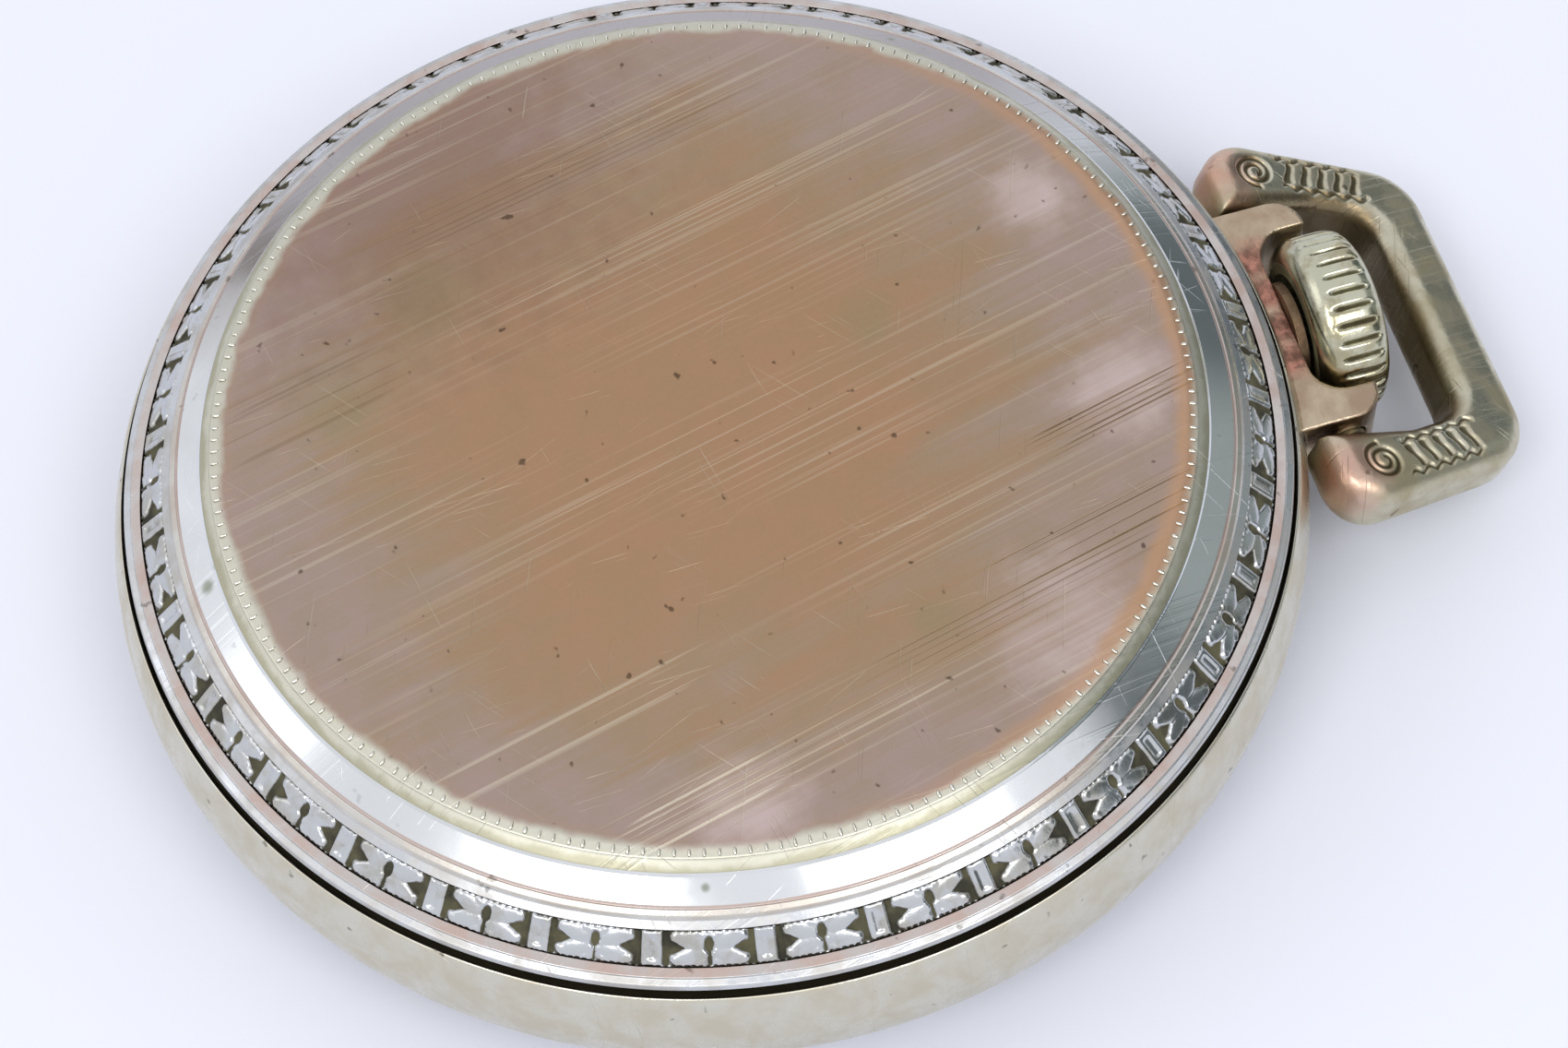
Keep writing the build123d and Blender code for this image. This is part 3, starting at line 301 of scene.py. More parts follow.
# a soft round spot on the case, at a place given in metres; Ragged breaks up its edge
def buildSpot():
    group, net = newGroup(
        "spot",
        [
            ("Vector", "NodeSocketVector", None),
            ("Ragged", "NodeSocketFloat", 0.5),
            ("Centre", "NodeSocketVector", None),
            ("Size", "NodeSocketFloat", 0.001),
        ],
        [("Mask", "NodeSocketFloat")],
    )
    apart = net.add("ShaderNodeVectorMath", operation="DISTANCE")
    net.link(net.source["Vector"], apart.inputs[0])
    net.link(net.source["Centre"], apart.inputs[1])
    share = net.math("DIVIDE", apart.outputs["Value"], net.source["Size"])
    broken = net.math("MULTIPLY_ADD", net.source["Ragged"], 0.7)
    net.link(share, broken.node.inputs[2])
    net.link(net.ramp(broken, 0.55, 1.35, 1.0, 0.0), net.sink["Mask"])
    return group


# along and across the main run of scratches, in metres, with the fine lines that follow it
def buildRun():
    group, net = newGroup(
        "scratchRun",
        [("Vector", "NodeSocketVector", None), ("Turn", "NodeSocketFloat", 1.808)],
        [
            ("Along", "NodeSocketFloat"),
            ("Across", "NodeSocketFloat"),
            ("Lines", "NodeSocketFloat"),
            ("Bands", "NodeSocketFloat"),
            ("Threads", "NodeSocketFloat"),
        ],
    )
    turned = net.add("ShaderNodeVectorRotate", rotation_type="Z_AXIS")
    net.link(net.source["Vector"], turned.inputs["Vector"])
    net.link(net.times(net.source["Turn"], -1.0), turned.inputs["Angle"])
    split = net.add("ShaderNodeSeparateXYZ")
    net.link(turned.outputs[0], split.inputs[0])
    net.link(split.outputs[0], net.sink["Along"])
    net.link(split.outputs[1], net.sink["Across"])
    lines = net.noise(net.stretch(turned.outputs[0], 0, (25, 7500, 1)), 1.0, 1, 0.5)
    net.link(net.ramp(lines, 0.54, 0.62), net.sink["Lines"])
    net.link(net.noise(net.stretch(turned.outputs[0], 0, (28, 300, 1)), 1.0, 4, 0.65), net.sink["Bands"])
    net.link(net.noise(net.stretch(turned.outputs[0], 0, (50, 3000, 1)), 1.0, 3, 0.7), net.sink["Threads"])
    return group


# window over one bundle of scratches, soft and uneven at its ends
def buildWindow():
    inputs = ("Along", "Across", "Uneven", "Middle Along", "Middle Across", "Half Length", "Half Width")
    sockets = [(label, "NodeSocketFloat", 0.001) for label in inputs]
    group, net = newGroup("scratchWindow", sockets, [("Mask", "NodeSocketFloat")])

    def share(place, middle, half):
        offset = net.minus(net.source[place], net.source[middle])
        return net.math("DIVIDE", net.math("ABSOLUTE", offset), net.source[half])

    ragged = net.plus(share("Along", "Middle Along", "Half Length"), net.source["Uneven"])
    window = net.ramp(ragged, 0.7, 1.1, 1.0, 0.0)
    side = net.ramp(share("Across", "Middle Across", "Half Width"), 0.75, 1.05, 1.0, 0.0)
    net.link(net.times(window, side), net.sink["Mask"])
    return group


tarnishGroup = buildTarnish()
scratchGroup = buildScratches()
placeGroup = buildPlace()
spotGroup = buildSpot()
runGroup = buildRun()
windowGroup = buildWindow()


def startMaterial(name, **principled):
    material = bpy.data.materials.new(name)
    material.use_nodes = True
    net = Net(material.node_tree)
    net.shader = material.node_tree.nodes["Principled BSDF"]
    for key, value in principled.items():
        net.shader.inputs[key.replace("_", " ")].default_value = value
    net.coords = net.add("ShaderNodeTexCoord").outputs["Object"]
    return material, net


def useGroup(net, group, **values):
    node = net.tree.nodes.new("ShaderNodeGroup")
    node.node_tree = group
    if "Vector" in node.inputs:
        net.link(net.coords, node.inputs["Vector"])
    for key, value in values.items():
        node.inputs[key.replace("_", " ")].default_value = value
    return node.outputs


def addBump(net, height, distance, strength=1.0):
    bump = net.add("ShaderNodeBump")
    bump.inputs["Strength"].default_value = strength
    bump.inputs["Distance"].default_value = distance
    net.link(height, bump.inputs["Height"])
    net.link(bump.outputs[0], net.shader.inputs["Normal"])


def spotMask(net, place, size):
    if not hasattr(net, "ragged"):
        net.ragged = net.noise(net.coords, 900, 3)
    node = net.tree.nodes.new("ShaderNodeGroup")
    node.node_tree = spotGroup
    net.link(net.coords, node.inputs["Vector"])
    net.link(net.ragged, node.inputs["Ragged"])
    node.inputs["Centre"].default_value = tuple(v * mm for v in place)
    node.inputs["Size"].default_value = size * mm
    return node.outputs["Mask"]


# colours of the disc, with painted shade for its darker side and for its rolled edge
discColoursAndShade = {
    "copper": srgb(172, 136, 106),
    "tan": srgb(164, 140, 114),
    "mauve": srgb(170, 149, 140),
    "pale": srgb(206, 186, 180),
    "olive": srgb(150, 138, 104),
    "orangeRim": srgb(196, 152, 112),
    "border": srgb(202, 199, 182),
    # painted shade for the rolled edge of the border
    "paintedRimShade": srgb(160, 156, 128),
    "bright": srgb(232, 222, 198),
    "brown": srgb(112, 90, 62),
    "dark": srgb(70, 52, 38),
    "shade": srgb(134, 102, 86),
    "orangeTurn": 75,  # degrees round the case
    "run": math.radians(103.6),  # direction of the main scratches
    "oliveSpots": (((-4.7, -14.2), 2.6), ((-2.2, 7.6), 2.0), ((12.0, 6.0), 1.6), ((-9.0, -9.5), 3.0)),
    "paleSpots": (((4.0, 16.4), 3.4), ((13.4, 10.6), 4.2), ((17.4, -3.0), 3.0), ((-6.0, 15.8), 2.6)),
    # centre, half length, half width, colour and strength of each bundle of scratches
    "bundles": (
        ((4.9, 15.9), 3.4, 0.85, "brown", 0.75),
        ((10.0, 14.2), 4.2, 1.15, "brown", 0.75),
        ((12.4, 9.5), 6.5, 0.9, "brown", 0.45),
        ((17.2, -4.9), 3.0, 1.2, "bright", 0.6),
        ((12.7, -9.3), 6.0, 0.8, "bright", 0.3),
        ((15.6, 0.6), 5.0, 0.7, "bright", 0.25),
        ((-13.2, -2.9), 8.0, 1.6, "brown", 0.35),
        ((-5.2, -15.0), 4.0, 1.6, "brown", 0.3),
        ((-9.6, 4.0), 9.0, 0.8, "bright", 0.18),
    ),
}


def discMaterial():
    material, net = startMaterial("discCopper", Metallic=1.0)
    mottle = useGroup(net, tarnishGroup, Cloud_Size=0.55)
    small = useGroup(net, tarnishGroup, Cloud_Size=2.6)
    marks = useGroup(net, scratchGroup, Bundle=0.85)
    place = useGroup(net, placeGroup)
    run = useGroup(net, runGroup, Turn=discColoursAndShade["run"])
    swing = net.times(net.minus(run["Bands"], 0.5), 15.0)
    swing = net.plus(swing, net.times(net.minus(run["Threads"], 0.5), 7.0))
    swing = net.plus(swing, net.times(net.minus(mottle["Clouds"], 0.5), 4.0))
    reach = net.plus(place["Radius"], swing)
    plating = net.ramp(reach, 10.5, 21.0, 1.0, 0.0)
    warm = net.ramp(reach, 5.0, 17.0, 1.0, 0.0)
    color = net.mix(plating, discColoursAndShade["mauve"], discColoursAndShade["tan"])
    color = net.mix(warm, color, discColoursAndShade["copper"])
    color = net.mix(net.times(small["Clouds"], 0.22), color, discColoursAndShade["olive"])
    for (x, y), size in discColoursAndShade["oliveSpots"]:
        color = net.mix(net.times(spotMask(net, (x, y, 11.95), size), 0.45), color, discColoursAndShade["olive"])
    shaded = net.times(spotMask(net, (-16.5, -9.5, 11.95), 15.0), 0.5)
    color = net.mix(shaded, color, discColoursAndShade["shade"])
    bare = net.minus(1.0, plating)
    for (x, y), size in discColoursAndShade["paleSpots"]:
        mask = net.times(spotMask(net, (x, y, 11.95), size), net.times(bare, 0.9))
        color = net.mix(mask, color, discColoursAndShade["pale"])
    cuts = marks["Hairlines"]
    uneven = net.times(net.minus(run["Threads"], 0.5), 2.4)
    c, s = math.cos(discColoursAndShade["run"]), math.sin(discColoursAndShade["run"])
    for (x, y), length, width, tint, strength in discColoursAndShade["bundles"]:
        node = net.add("ShaderNodeGroup", node_tree=windowGroup)
        for label in ("Along", "Across"):
            net.link(run[label], node.inputs[label])
        net.link(uneven, node.inputs["Uneven"])
        node.inputs["Middle Along"].default_value = (x * c + y * s) * mm
        node.inputs["Middle Across"].default_value = (y * c - x * s) * mm
        node.inputs["Half Length"].default_value = length * mm
        node.inputs["Half Width"].default_value = width * mm
        window = node.outputs["Mask"]
        lines = net.times(net.times(window, run["Lines"]), strength)
        color = net.mix(net.times(window, 0.35 * strength), color, discColoursAndShade["tan"])
        color = net.mix(lines, color, discColoursAndShade[tint])
        cuts = net.math("MAXIMUM", cuts, lines)
    color = net.mix(net.times(marks["Bundles"], 0.22), color, discColoursAndShade["bright"])
    color = net.mix(net.times(marks["Hairlines"], 0.16), color, discColoursAndShade["bright"])
    color = net.mix(net.times(small["Pits"], 0.7), color, discColoursAndShade["dark"])
    wavy = net.plus(place["Radius"], net.times(small["Clouds"], 0.25))
    side = net.math("ABSOLUTE", net.minus(place["Turn"], discColoursAndShade["orangeTurn"]))
    orange = net.ramp(side, 30, 85, 0.6, 0.1)
    color = net.mix(net.times(net.ramp(wavy, 18.9, 19.5), orange), color, discColoursAndShade["orangeRim"])
    fringe = net.minus(wavy, net.times(orange, 0.7))
    color = net.mix(net.ramp(fringe, 19.3, 19.75), color, discColoursAndShade["border"])
    # painted shade: the rolled edge of the border, 20.15 to 20.45 mm out, is painted darker olive
    color = net.mix(net.times(net.ramp(wavy, 20.15, 20.45), 0.7), color, discColoursAndShade["paintedRimShade"])
    net.link(color, net.shader.inputs["Base Color"])
    grainy = net.times(mottle["Grain"], 0.22)
    rough = net.plus(net.plus(grainy, 0.28), net.times(plating, 0.12))
    net.link(rough, net.shader.inputs["Roughness"])
    relief = net.plus(net.times(cuts, -1.0), net.times(small["Clouds"], 0.15))
    relief = net.plus(relief, net.times(marks["Bundles"], -0.5))
    addBump(net, relief, 0.00002, 0.6)
    return material


# plain worn metal: a main colour, a tarnish colour in clouds, pits and scratches
def wornMetal(name, main, tarnish, amount=0.5, rough=0.25, spread=0.2, clouds=1.5, bump=0.00002, pits=0.5):
    material, net = startMaterial(name, Metallic=1.0)
    mottle = useGroup(net, tarnishGroup, Cloud_Size=clouds)
    marks = useGroup(net, scratchGroup, Bundle=0.5)
    color = net.mix(net.times(mottle["Clouds"], amount), srgb(*main), srgb(*tarnish))
    color = net.mix(net.times(mottle["Pits"], pits), color, srgb(60, 50, 38))
    net.link(color, net.shader.inputs["Base Color"])
    mottled = net.times(mottle["Clouds"], spread)
    scratched = net.times(marks["Hairlines"], 0.2)
    net.link(net.plus(net.plus(mottled, scratched), rough), net.shader.inputs["Roughness"])
    relief = net.plus(marks["Height"], net.times(mottle["Grain"], 0.35))
    addBump(net, relief, bump, 0.5)
    return material


# engraved silver whose recesses hold grime; the mesh carries how deep each point lies
def engravedMaterial(name, high, cloud, grime, grimeDark):
    material, net = startMaterial(name, Metallic=1.0)
    mottle = useGroup(net, tarnishGroup, Cloud_Size=4.0)
    depth = net.add("ShaderNodeAttribute", attribute_name="depth").outputs["Fac"]
    dirty = net.plus(depth, net.times(net.minus(mottle["Clouds"], 0.5), 0.3))
    fill = net.ramp(dirty, 0.32, 0.74)
    soil = net.mix(mottle["Clouds"], srgb(*grime), srgb(*grimeDark))
    clean = net.mix(net.ramp(mottle["Clouds"], 0.2, 1.0, 0.0, 0.7), srgb(*high), srgb(*cloud))
    net.link(net.mix(fill, clean, soil), net.shader.inputs["Base Color"])
    net.link(net.ramp(fill, 0, 1, 0.20, 0.75), net.shader.inputs["Roughness"])
    net.link(net.ramp(fill, 0.2, 1, 1.0, 0.15), net.shader.inputs["Metallic"])
    addBump(net, mottle["Grain"], 0.00002, 0.5)
    return material


# green spots on the bevel: place and size in millimetres
bevelSpots = (((1.66, -20.78, 11.1), 0.45), ((20.1, -5.4, 11.1), 0.25), ((-16.5, 13.0, 11.1), 0.3))


def bevelMaterial():
    material, net = startMaterial("polishedBevel", Metallic=1.0)
    mottle = useGroup(net, tarnishGroup, Cloud_Size=1.2)
    marks = useGroup(net, scratchGroup, Bundle=0.5)
    turn = useGroup(net, placeGroup)["Turn"]
    # painted reflection: the bevel's far side, about 110 to 250 degrees round the case, is painted darker and
    # browner for the dark surroundings it mirrors there
    around = net.math("ABSOLUTE", net.minus(net.math("FLOORED_MODULO", turn, 360.0), 180.0))
    far = net.ramp(around, 46, 72, 1.0, 0.0)
    color = net.mix(net.times(mottle["Clouds"], 0.5), srgb(228, 230, 230), srgb(204, 206, 204))
    color = net.mix(net.times(far, 0.85), color, srgb(162, 153, 148))
    for place, size in bevelSpots:
        color = net.mix(net.times(spotMask(net, place, size), 0.7), color, srgb(120, 128, 96))
    color = net.mix(net.times(mottle["Pits"], 0.2), color, srgb(90, 84, 70))
    net.link(color, net.shader.inputs["Base Color"])
    mottled = net.plus(net.times(mottle["Clouds"], 0.10), 0.10)
    net.link(net.plus(mottled, net.times(marks["Hairlines"], 0.2)), net.shader.inputs["Roughness"])
    addBump(net, marks["Height"], 0.000008, 0.5)
    return material


materials = {
    "disc": discMaterial(),
    "brassBorder": wornMetal("brassBorder", (206, 202, 184), (182, 172, 142), 0.6, 0.22),
    "bevel": bevelMaterial(),
    "beads": wornMetal("brightBeads", (228, 226, 214), (200, 194, 172), 0.5, 0.14, 0.1, 4.0),
    "ridge": wornMetal("silverRidge", (214, 212, 204), (176, 158, 142), 0.6, 0.18),
    "copperLine": wornMetal("copperLine", (202, 188, 180), (186, 164, 152), 0.6, 0.24),
    # main colour, its clouds, then light and dark grime
    "engraved": engravedMaterial("engravedSilver", (198, 200, 202), (176, 172, 160), (92, 88, 62), (44, 42, 30)),
    "copperLand": wornMetal("copperLand", (204, 198, 192), (192, 166, 154), 0.8, 0.24, 0.2, 3.0),
    "lip": wornMetal("greyLip", (204, 206, 208), (160, 150, 132), 0.5, 0.2, 0.25, 3.0),
    "inside": wornMetal("insideOfCase", (196, 184, 150), (172, 152, 112), 0.5, 0.3),
    "band": wornMetal("bandNickel", (208, 204, 190), (194, 184, 160), 0.6, 0.24, 0.16, 3.2, 0.00003, 0.6),
    # painted shade with some grime: near black for the gap under the cover's lip and for the channel under the
    # engraving
    "seam": wornMetal("seamShadeAndGrime", (70, 64, 50), (40, 36, 28), 0.6, 0.6),
    "crown": engravedMaterial("crownNickel", (196, 194, 172), (160, 150, 116), (96, 92, 60), (70, 60, 36)),
}
print("finishes made")

# back cover
coverSize = {
    "lip": 24.0,
    "seam": 8.8,
    "top": 11.95,
    "wall": 0.8,
    "skirtOuter": 22.5,
    "skirtInner": 21.8,
    "skirtDepth": 1.6,
    "threadTurns": 6,
    "threadPitch": 0.2,
    "threadDepth": 0.14,
    "ringMiddle": 22.7,  # radius at the middle of the ornament
    "repeats": 33,
    "samples": 64,
    "rows": 30,
    "carveDepth": 0.17,
    "ringThick": 0.26,
    "beads": 216,
    "beadRadius": 19.74,
    "firstPit": 83.2,  # direction of one pit round the case, in degrees
}
seam, top = coverSize["seam"], coverSize["top"]
engraveIn = (22.17, seam + 1.44)
engraveOut = (23.25, seam + 0.45)


# the ring profile from the lip to the disc; way is 1 for the cover and -1 for the bezel
def ringProfile(base, way):
    def at(r, rise, corner, zone):
        return (r, base + way * rise, corner, zone)

    return [
        at(coverSize["lip"], 0.0, 0.05, 7),
        at(23.94, 0.24, 0.05, 7),
        at(23.67, 0.34, 0.03, 7),
        at(23.64, 0.40, 0.03, 6),
        at(23.25, 0.45, 0.02, 5),
        at(23.15, 0.15, 0, 5),
        at(22.12, 1.10, 0, 5),
        at(22.17, 1.44, 0.02, 7),
        at(21.84, 1.66, 0.04, 3),
        at(21.78, 1.78, 0.05, 3),
        at(21.56, 1.92, 0.05, 4),
        at(21.50, 1.90, 0.03, 4),
        at(21.42, 1.98, 0.03, 2),
        at(20.48, 2.56, 0.03, 2),
    ]


def makeCover():
    outside = ringProfile(seam, 1)
    crest = [
        (20.40, top - 0.49, 0.03, 1),
        (20.32, top - 0.43, 0.05, 1),
        (20.0, top - 0.20, 0.12, 1),
        (19.93, top - 0.14, 0.05, 1),
        (19.50, top - 0.03, 0.10, 0),
        (14.0, top - 0.005, 0, 0),
        (7.0, top, 0, 0),
        (0, top, 0, 8),
    ]
    ceiling = top - coverSize["wall"]
    skirtEnd = seam - coverSize["skirtDepth"]
    inner, outer = coverSize["skirtInner"], coverSize["skirtOuter"]
    inside = [
        (0, ceiling, 0, 8),
        (10.0, ceiling, 0, 8),
        (19.0, ceiling, 0.2, 8),
        (20.8, seam + 1.21, 0.2, 8),
        (inner, seam + 0.6, 0.1, 8),
        (inner, skirtEnd, 0.03, 8),
        (outer, skirtEnd, 0.05, 8),
    ]
    thread = []
    pitch = coverSize["threadPitch"]
    for i in range(coverSize["threadTurns"]):
        z = skirtEnd + (i + 1) * pitch
        thread += [(outer, z, 0, 8), (outer - coverSize["threadDepth"], z + pitch / 2, 0, 8)]
    rest = [(outer, seam, 0.0, 7)]
    finishes = ("disc", "disc", "bevel", "ridge", "copperLine", "seam", "copperLand", "lip", "inside")
    outline = roundOutline(outside + crest + inside + thread + rest)
    cover = latheObject("coverShell", outline, 768, "cover", [materials[key] for key in finishes])
    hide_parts("back_cover")


# 0 below low and 1 above high, with a soft rise between
def step(value, low, high):
    share = np.clip((value - low) / (high - low), 0, 1)
    return share**2 * (3 - 2 * share)


# height of the ornament, 1 on its crests and 0 in the channel; across and along in millimetres
def ornament(across, along):
    side = np.abs(across)
    half = math.pi * coverSize["ringMiddle"] / coverSize["repeats"]
    fromBar = half - side
    dip = (1 - step(fromBar, 0.10, 0.2)) * step(0.38 - np.abs(along), 0.0, 0.1)
    bar = (1 - step(fromBar, 0.34, 0.44)) * (1 - 0.35 * dip)
    groove = step(fromBar, 0.44, 0.50) * (1 - step(fromBar, 0.56, 0.66))

    def leaf(cx, cy, long, short, turn):
        c, s = math.cos(math.radians(turn)), math.sin(math.radians(turn))
        u = ((side - cx) * c + (along - cy) * s) / long
        v = (-(side - cx) * s + (along - cy) * c) / short
        return np.sqrt(np.clip(1 - u * u - v * v, 0, 1))

    # two pairs of leaves spread from the pit and leave a notch between their tips
    upper = leaf(0.74, 0.24, 0.72, 0.27, 12)
    lower = leaf(0.74, -0.24, 0.72, 0.27, -12)
    tips = np.maximum(leaf(1.26, 0.33, 0.26, 0.17, -24), leaf(1.26, -0.33, 0.26, 0.17, 24))
    petals = 0.9 * np.maximum(leaf(0.36, 0.42, 0.24, 0.12, 30), leaf(0.36, -0.42, 0.26, 0.12, -30))
    leaves = np.maximum.reduce([upper, lower, tips, petals])
    vein = np.exp(-((np.abs(upper - lower) / 0.16) ** 2)) * step(side, 0.5, 0.9)
    core = 0.85 * np.exp(-((side / 0.62) ** 4)) * np.exp(-((along / 0.34) ** 4))
    bulb = np.sqrt((side / 0.19) ** 2 + ((along + 0.10) / 0.21) ** 2)
    stem = np.sqrt((side / 0.06) ** 2 + (np.clip(np.abs(along - 0.25) - 0.25, 0, 1) / 0.06) ** 2)
    pit = np.minimum(bulb, stem)
    collar = np.exp(-(((bulb - 1.5) / 0.38) ** 2))
    field = 0.58 + 0.40 * leaves
    field = np.maximum(field, core)
    notch = np.exp(-((along / (0.04 + 0.14 * step(side, 0.95, 1.5))) ** 2)) * step(side, 0.9, 1.1)
    field = np.maximum(field, 0.92 * collar) - 0.25 * vein - 0.5 * notch
    field = field * (0.08 + 0.92 * step(pit, 0.85, 1.2))
    inField = step(fromBar, 0.56, 0.66)
    height = bar + inField * field * (1 - bar)
    height = height * (1 - 0.95 * groove)
    edge = step(np.abs(along), 0.46, 0.54)
    notches = 0.45 + 0.35 * np.sin(across * 2 * math.pi / 0.26)
    return np.clip(height * (1 - edge) + edge * notches, 0, 1)


# ring of engraved metal laid in its channel: top follows the ornament, with a plain underside
def makeEngraving(name, inner, outer, normal, samples, rows, body):
    total = coverSize["repeats"] * samples
    pitch = 360 / coverSize["repeats"]
    angles = coverSize["firstPit"] + np.arange(total) * 360 / total
    turn = np.radians(angles)
    local = (angles - coverSize["firstPit"] + pitch / 2) % pitch - pitch / 2
    across = np.radians(local) * coverSize["ringMiddle"]
    verts, depths = [], []
    for row in range(rows):
        share = row / (rows - 1)
        along = (share - 0.5) * 1.08
        jitter = 0.05 * np.sin(turn * 5 + 1.3) + 0.03 * np.sin(turn * 13)
        height = ornament(across + 0.02 * np.sin(turn * 7), np.full(total, along) + jitter * 0.3)
        drop = (1 - height) * coverSize["carveDepth"]
        base = np.array(inner) * (1 - share) + np.array(outer) * share
        r = base[0] - normal[0] * drop
        z = base[1] - normal[1] * drop
        verts.append(np.stack([r * np.cos(turn), r * np.sin(turn), z], 1) * mm)
        depths.append(1 - height)
    back = coverSize["ringThick"]
    for point in (outer, inner):
        r, z = point[0] - normal[0] * back, point[1] - normal[1] * back
        verts.append(np.stack([r * np.cos(turn), r * np.sin(turn), np.full(total, z)], 1) * mm)
        depths.append(np.ones(total))
    count = len(verts)
    index = np.arange(total)
    after = (index + 1) % total
    faces = []
    for i in range(count):
        a, b = i * total, ((i + 1) % count) * total
        faces += np.stack([a + index, a + after, b + after, b + index], 1).tolist()
    obj = makeObject(name, np.concatenate(verts), faces, None, 0)
    depth = obj.data.attributes.new("depth", "FLOAT", "POINT")
    depth.data.foreach_set("value", np.concatenate(depths).astype(np.float32))
    setMaterial(obj, materials["engraved"])
    fixNormals(obj)
    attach(obj, body)


# fine upright beads round the disc
def makeBeads():
    verts, faces = [], []
    rng = np.random.default_rng(7)
    for i in range(coverSize["beads"]):
        turn = 2 * math.pi * (i + rng.normal(0, 0.03)) / coverSize["beads"]
        outward = Vector((math.cos(turn), math.sin(turn), 0))
        radial = outward + Vector((0, 0, -0.12))  # each bead leans with the rim
        tangent = Vector((-math.sin(turn), math.cos(turn), 0))
        middle = outward * coverSize["beadRadius"] + Vector((0, 0, top - 0.10))
        length = 0.19 * rng.uniform(0.85, 1.1)
        width = 0.08 * rng.uniform(0.8, 1.2)
        height = 0.10 * rng.uniform(0.7, 1.0)
        start = len(verts)
        for ring in range(1, 4):
            lift = math.sin(ring * math.pi / 8)
            spread = math.cos(ring * math.pi / 8)
            for k in range(10):
                a = 2 * math.pi * k / 10
                offset = radial * length * math.cos(a) + tangent * width * math.sin(a)
                verts.append((middle + offset * spread + Vector((0, 0, height * lift))) * mm)
        verts.append((middle + Vector((0, 0, height))) * mm)
        for ring in range(2):
            for k in range(10):
                n = (k + 1) % 10
                low = start + ring * 10
                faces.append((low + k, low + n, low + 10 + n, low + 10 + k))
        for k in range(10):
            faces.append((start + 20 + k, start + 20 + (k + 1) % 10, start + 30))
        faces.append(tuple(start + k for k in reversed(range(10))))
    beads = makeObject("coverBeads", verts, faces, "cover", 0)
    setMaterial(beads, materials["beads"])


makeCover()
slope = np.array((engraveIn[1] - engraveOut[1], engraveOut[0] - engraveIn[0]))
normalUp = slope / np.linalg.norm(slope)
samples, rows = coverSize["samples"], coverSize["rows"]
makeEngraving("coverEngraving", engraveIn, engraveOut, normalUp, samples, rows, "cover")
makeBeads()
print("back cover made")

# band, bezel and crystal
bandSize = {"belly": 24.85, "middle": 5.8, "low": 3.15, "high": 8.45, "edge": 24.26}
bezelSize = {"seam": 2.8, "samples": 40, "rows": 20}


def makeBand():
    half = (bandSize["high"] - bandSize["low"]) / 2
    rise = bandSize["belly"] - bandSize["edge"]
    radius = (half**2 + rise**2) / (2 * rise)
    centre = bandSize["belly"] - radius
    reach = math.asin(half / radius)
    outline = []
    for i in range(25):
        a = -reach + 2 * reach * i / 24
        outline.append((centre + radius * math.cos(a), bandSize["middle"] + radius * math.sin(a), 0, 0))
    outline += [
        (24.18, 8.50, 0.03, 3),
        (24.12, 8.42, 0.02, 1),
        (24.05, 8.15, 0.05, 1),
        (23.3, 8.10, 0, 1),
        (23.3, 8.8, 0.03, 2),
        (22.55, 8.8, 0.03, 2),
        (22.55, 7.0, 0, 2),
        (21.1, 7.0, 0.05, 2),
        (21.1, 4.5, 0.05, 2),
        (22.55, 4.5, 0, 2),
        (22.55, 2.8, 0.03, 2),
        (23.3, 2.8, 0.03, 1),
        (23.3, 3.5, 0, 1),
        (24.05, 3.45, 0.05, 1),
        (24.12, 3.18, 0.02, 1),
        (24.18, 3.10, 0.03, 0),
    ]
    # the seam zone is the gap under the cover, painted near black as shade with some grime
    zones = [materials[key] for key in ("band", "seam", "inside", "lip")]
    band = latheObject("bandShell", roundOutline(outline), 512, "case", zones)
    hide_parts("case_band")


def makeBezel():
    base = bezelSize["seam"]
    outside = ringProfile(base, -1)
    inside = [
        (20.36, 0.17, 0.03, 1),
        (19.75, 0.20, 0.05, 1),
        (19.45, 0.36, 0.03, 1),
        (19.45, 1.2, 0, 8),
        (18.7, 1.2, 0.03, 8),
        (18.7, 1.6, 0.05, 8),
        (20.6, 1.75, 0.1, 8),
        (21.8, 2.4, 0.1, 8),
        (21.8, 4.4, 0.03, 8),
        (22.5, 4.4, 0.05, 8),
        (22.5, base, 0, 7),
    ]
    finishes = ("disc", "brassBorder", "bevel", "ridge", "copperLine", "seam", "copperLand", "lip", "inside")
    zones = [materials[key] for key in finishes]
    bezel = latheObject("bezelRing", roundOutline(outside + inside), 512, "bezel", zones)
    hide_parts("front_bezel")
    low = (engraveOut[0], base - 0.45)
    high = (engraveIn[0], base - 1.44)
    normalDown = (normalUp[0], -normalUp[1])
    samples, rows = bezelSize["samples"], bezelSize["rows"]
    makeEngraving("bezelEngraving", high, low, normalDown, samples, rows, "bezel")


def glassMaterial():
    material, net = startMaterial("crystalGlass", Roughness=0.04, IOR=1.5, Transmission_Weight=1.0)
    marks = useGroup(net, scratchGroup, Bundle=0.2)
    net.link(net.ramp(marks["Hairlines"], 0, 1, 0.03, 0.12), net.shader.inputs["Roughness"])
    net.shader.inputs["Base Color"].default_value = srgb(244, 248, 250)
    path = net.add("ShaderNodeLightPath")
    clear = net.times(path.outputs["Is Shadow Ray"], 0.9)  # light reaches the dial through it
    net.link(net.minus(1.0, clear), net.shader.inputs["Alpha"])
    addBump(net, marks["Height"], 0.000006, 0.3)
    return material


def makeCrystal():
    outline = [
        (0, 0, 0, 0),
        (10.0, 0, 0, 0),
        (18.5, 0, 0.3, 0),
        (19.4, 0.4, 0.08, 0),
        (19.4, 1.2, 0.03, 0),
        (10.0, 1.2, 0, 0),
        (0, 1.2, 0, 0),
    ]
    crystal = latheObject("crystalGlass", roundOutline(outline), 256, "bezel", [glassMaterial()])
    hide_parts("crystal")


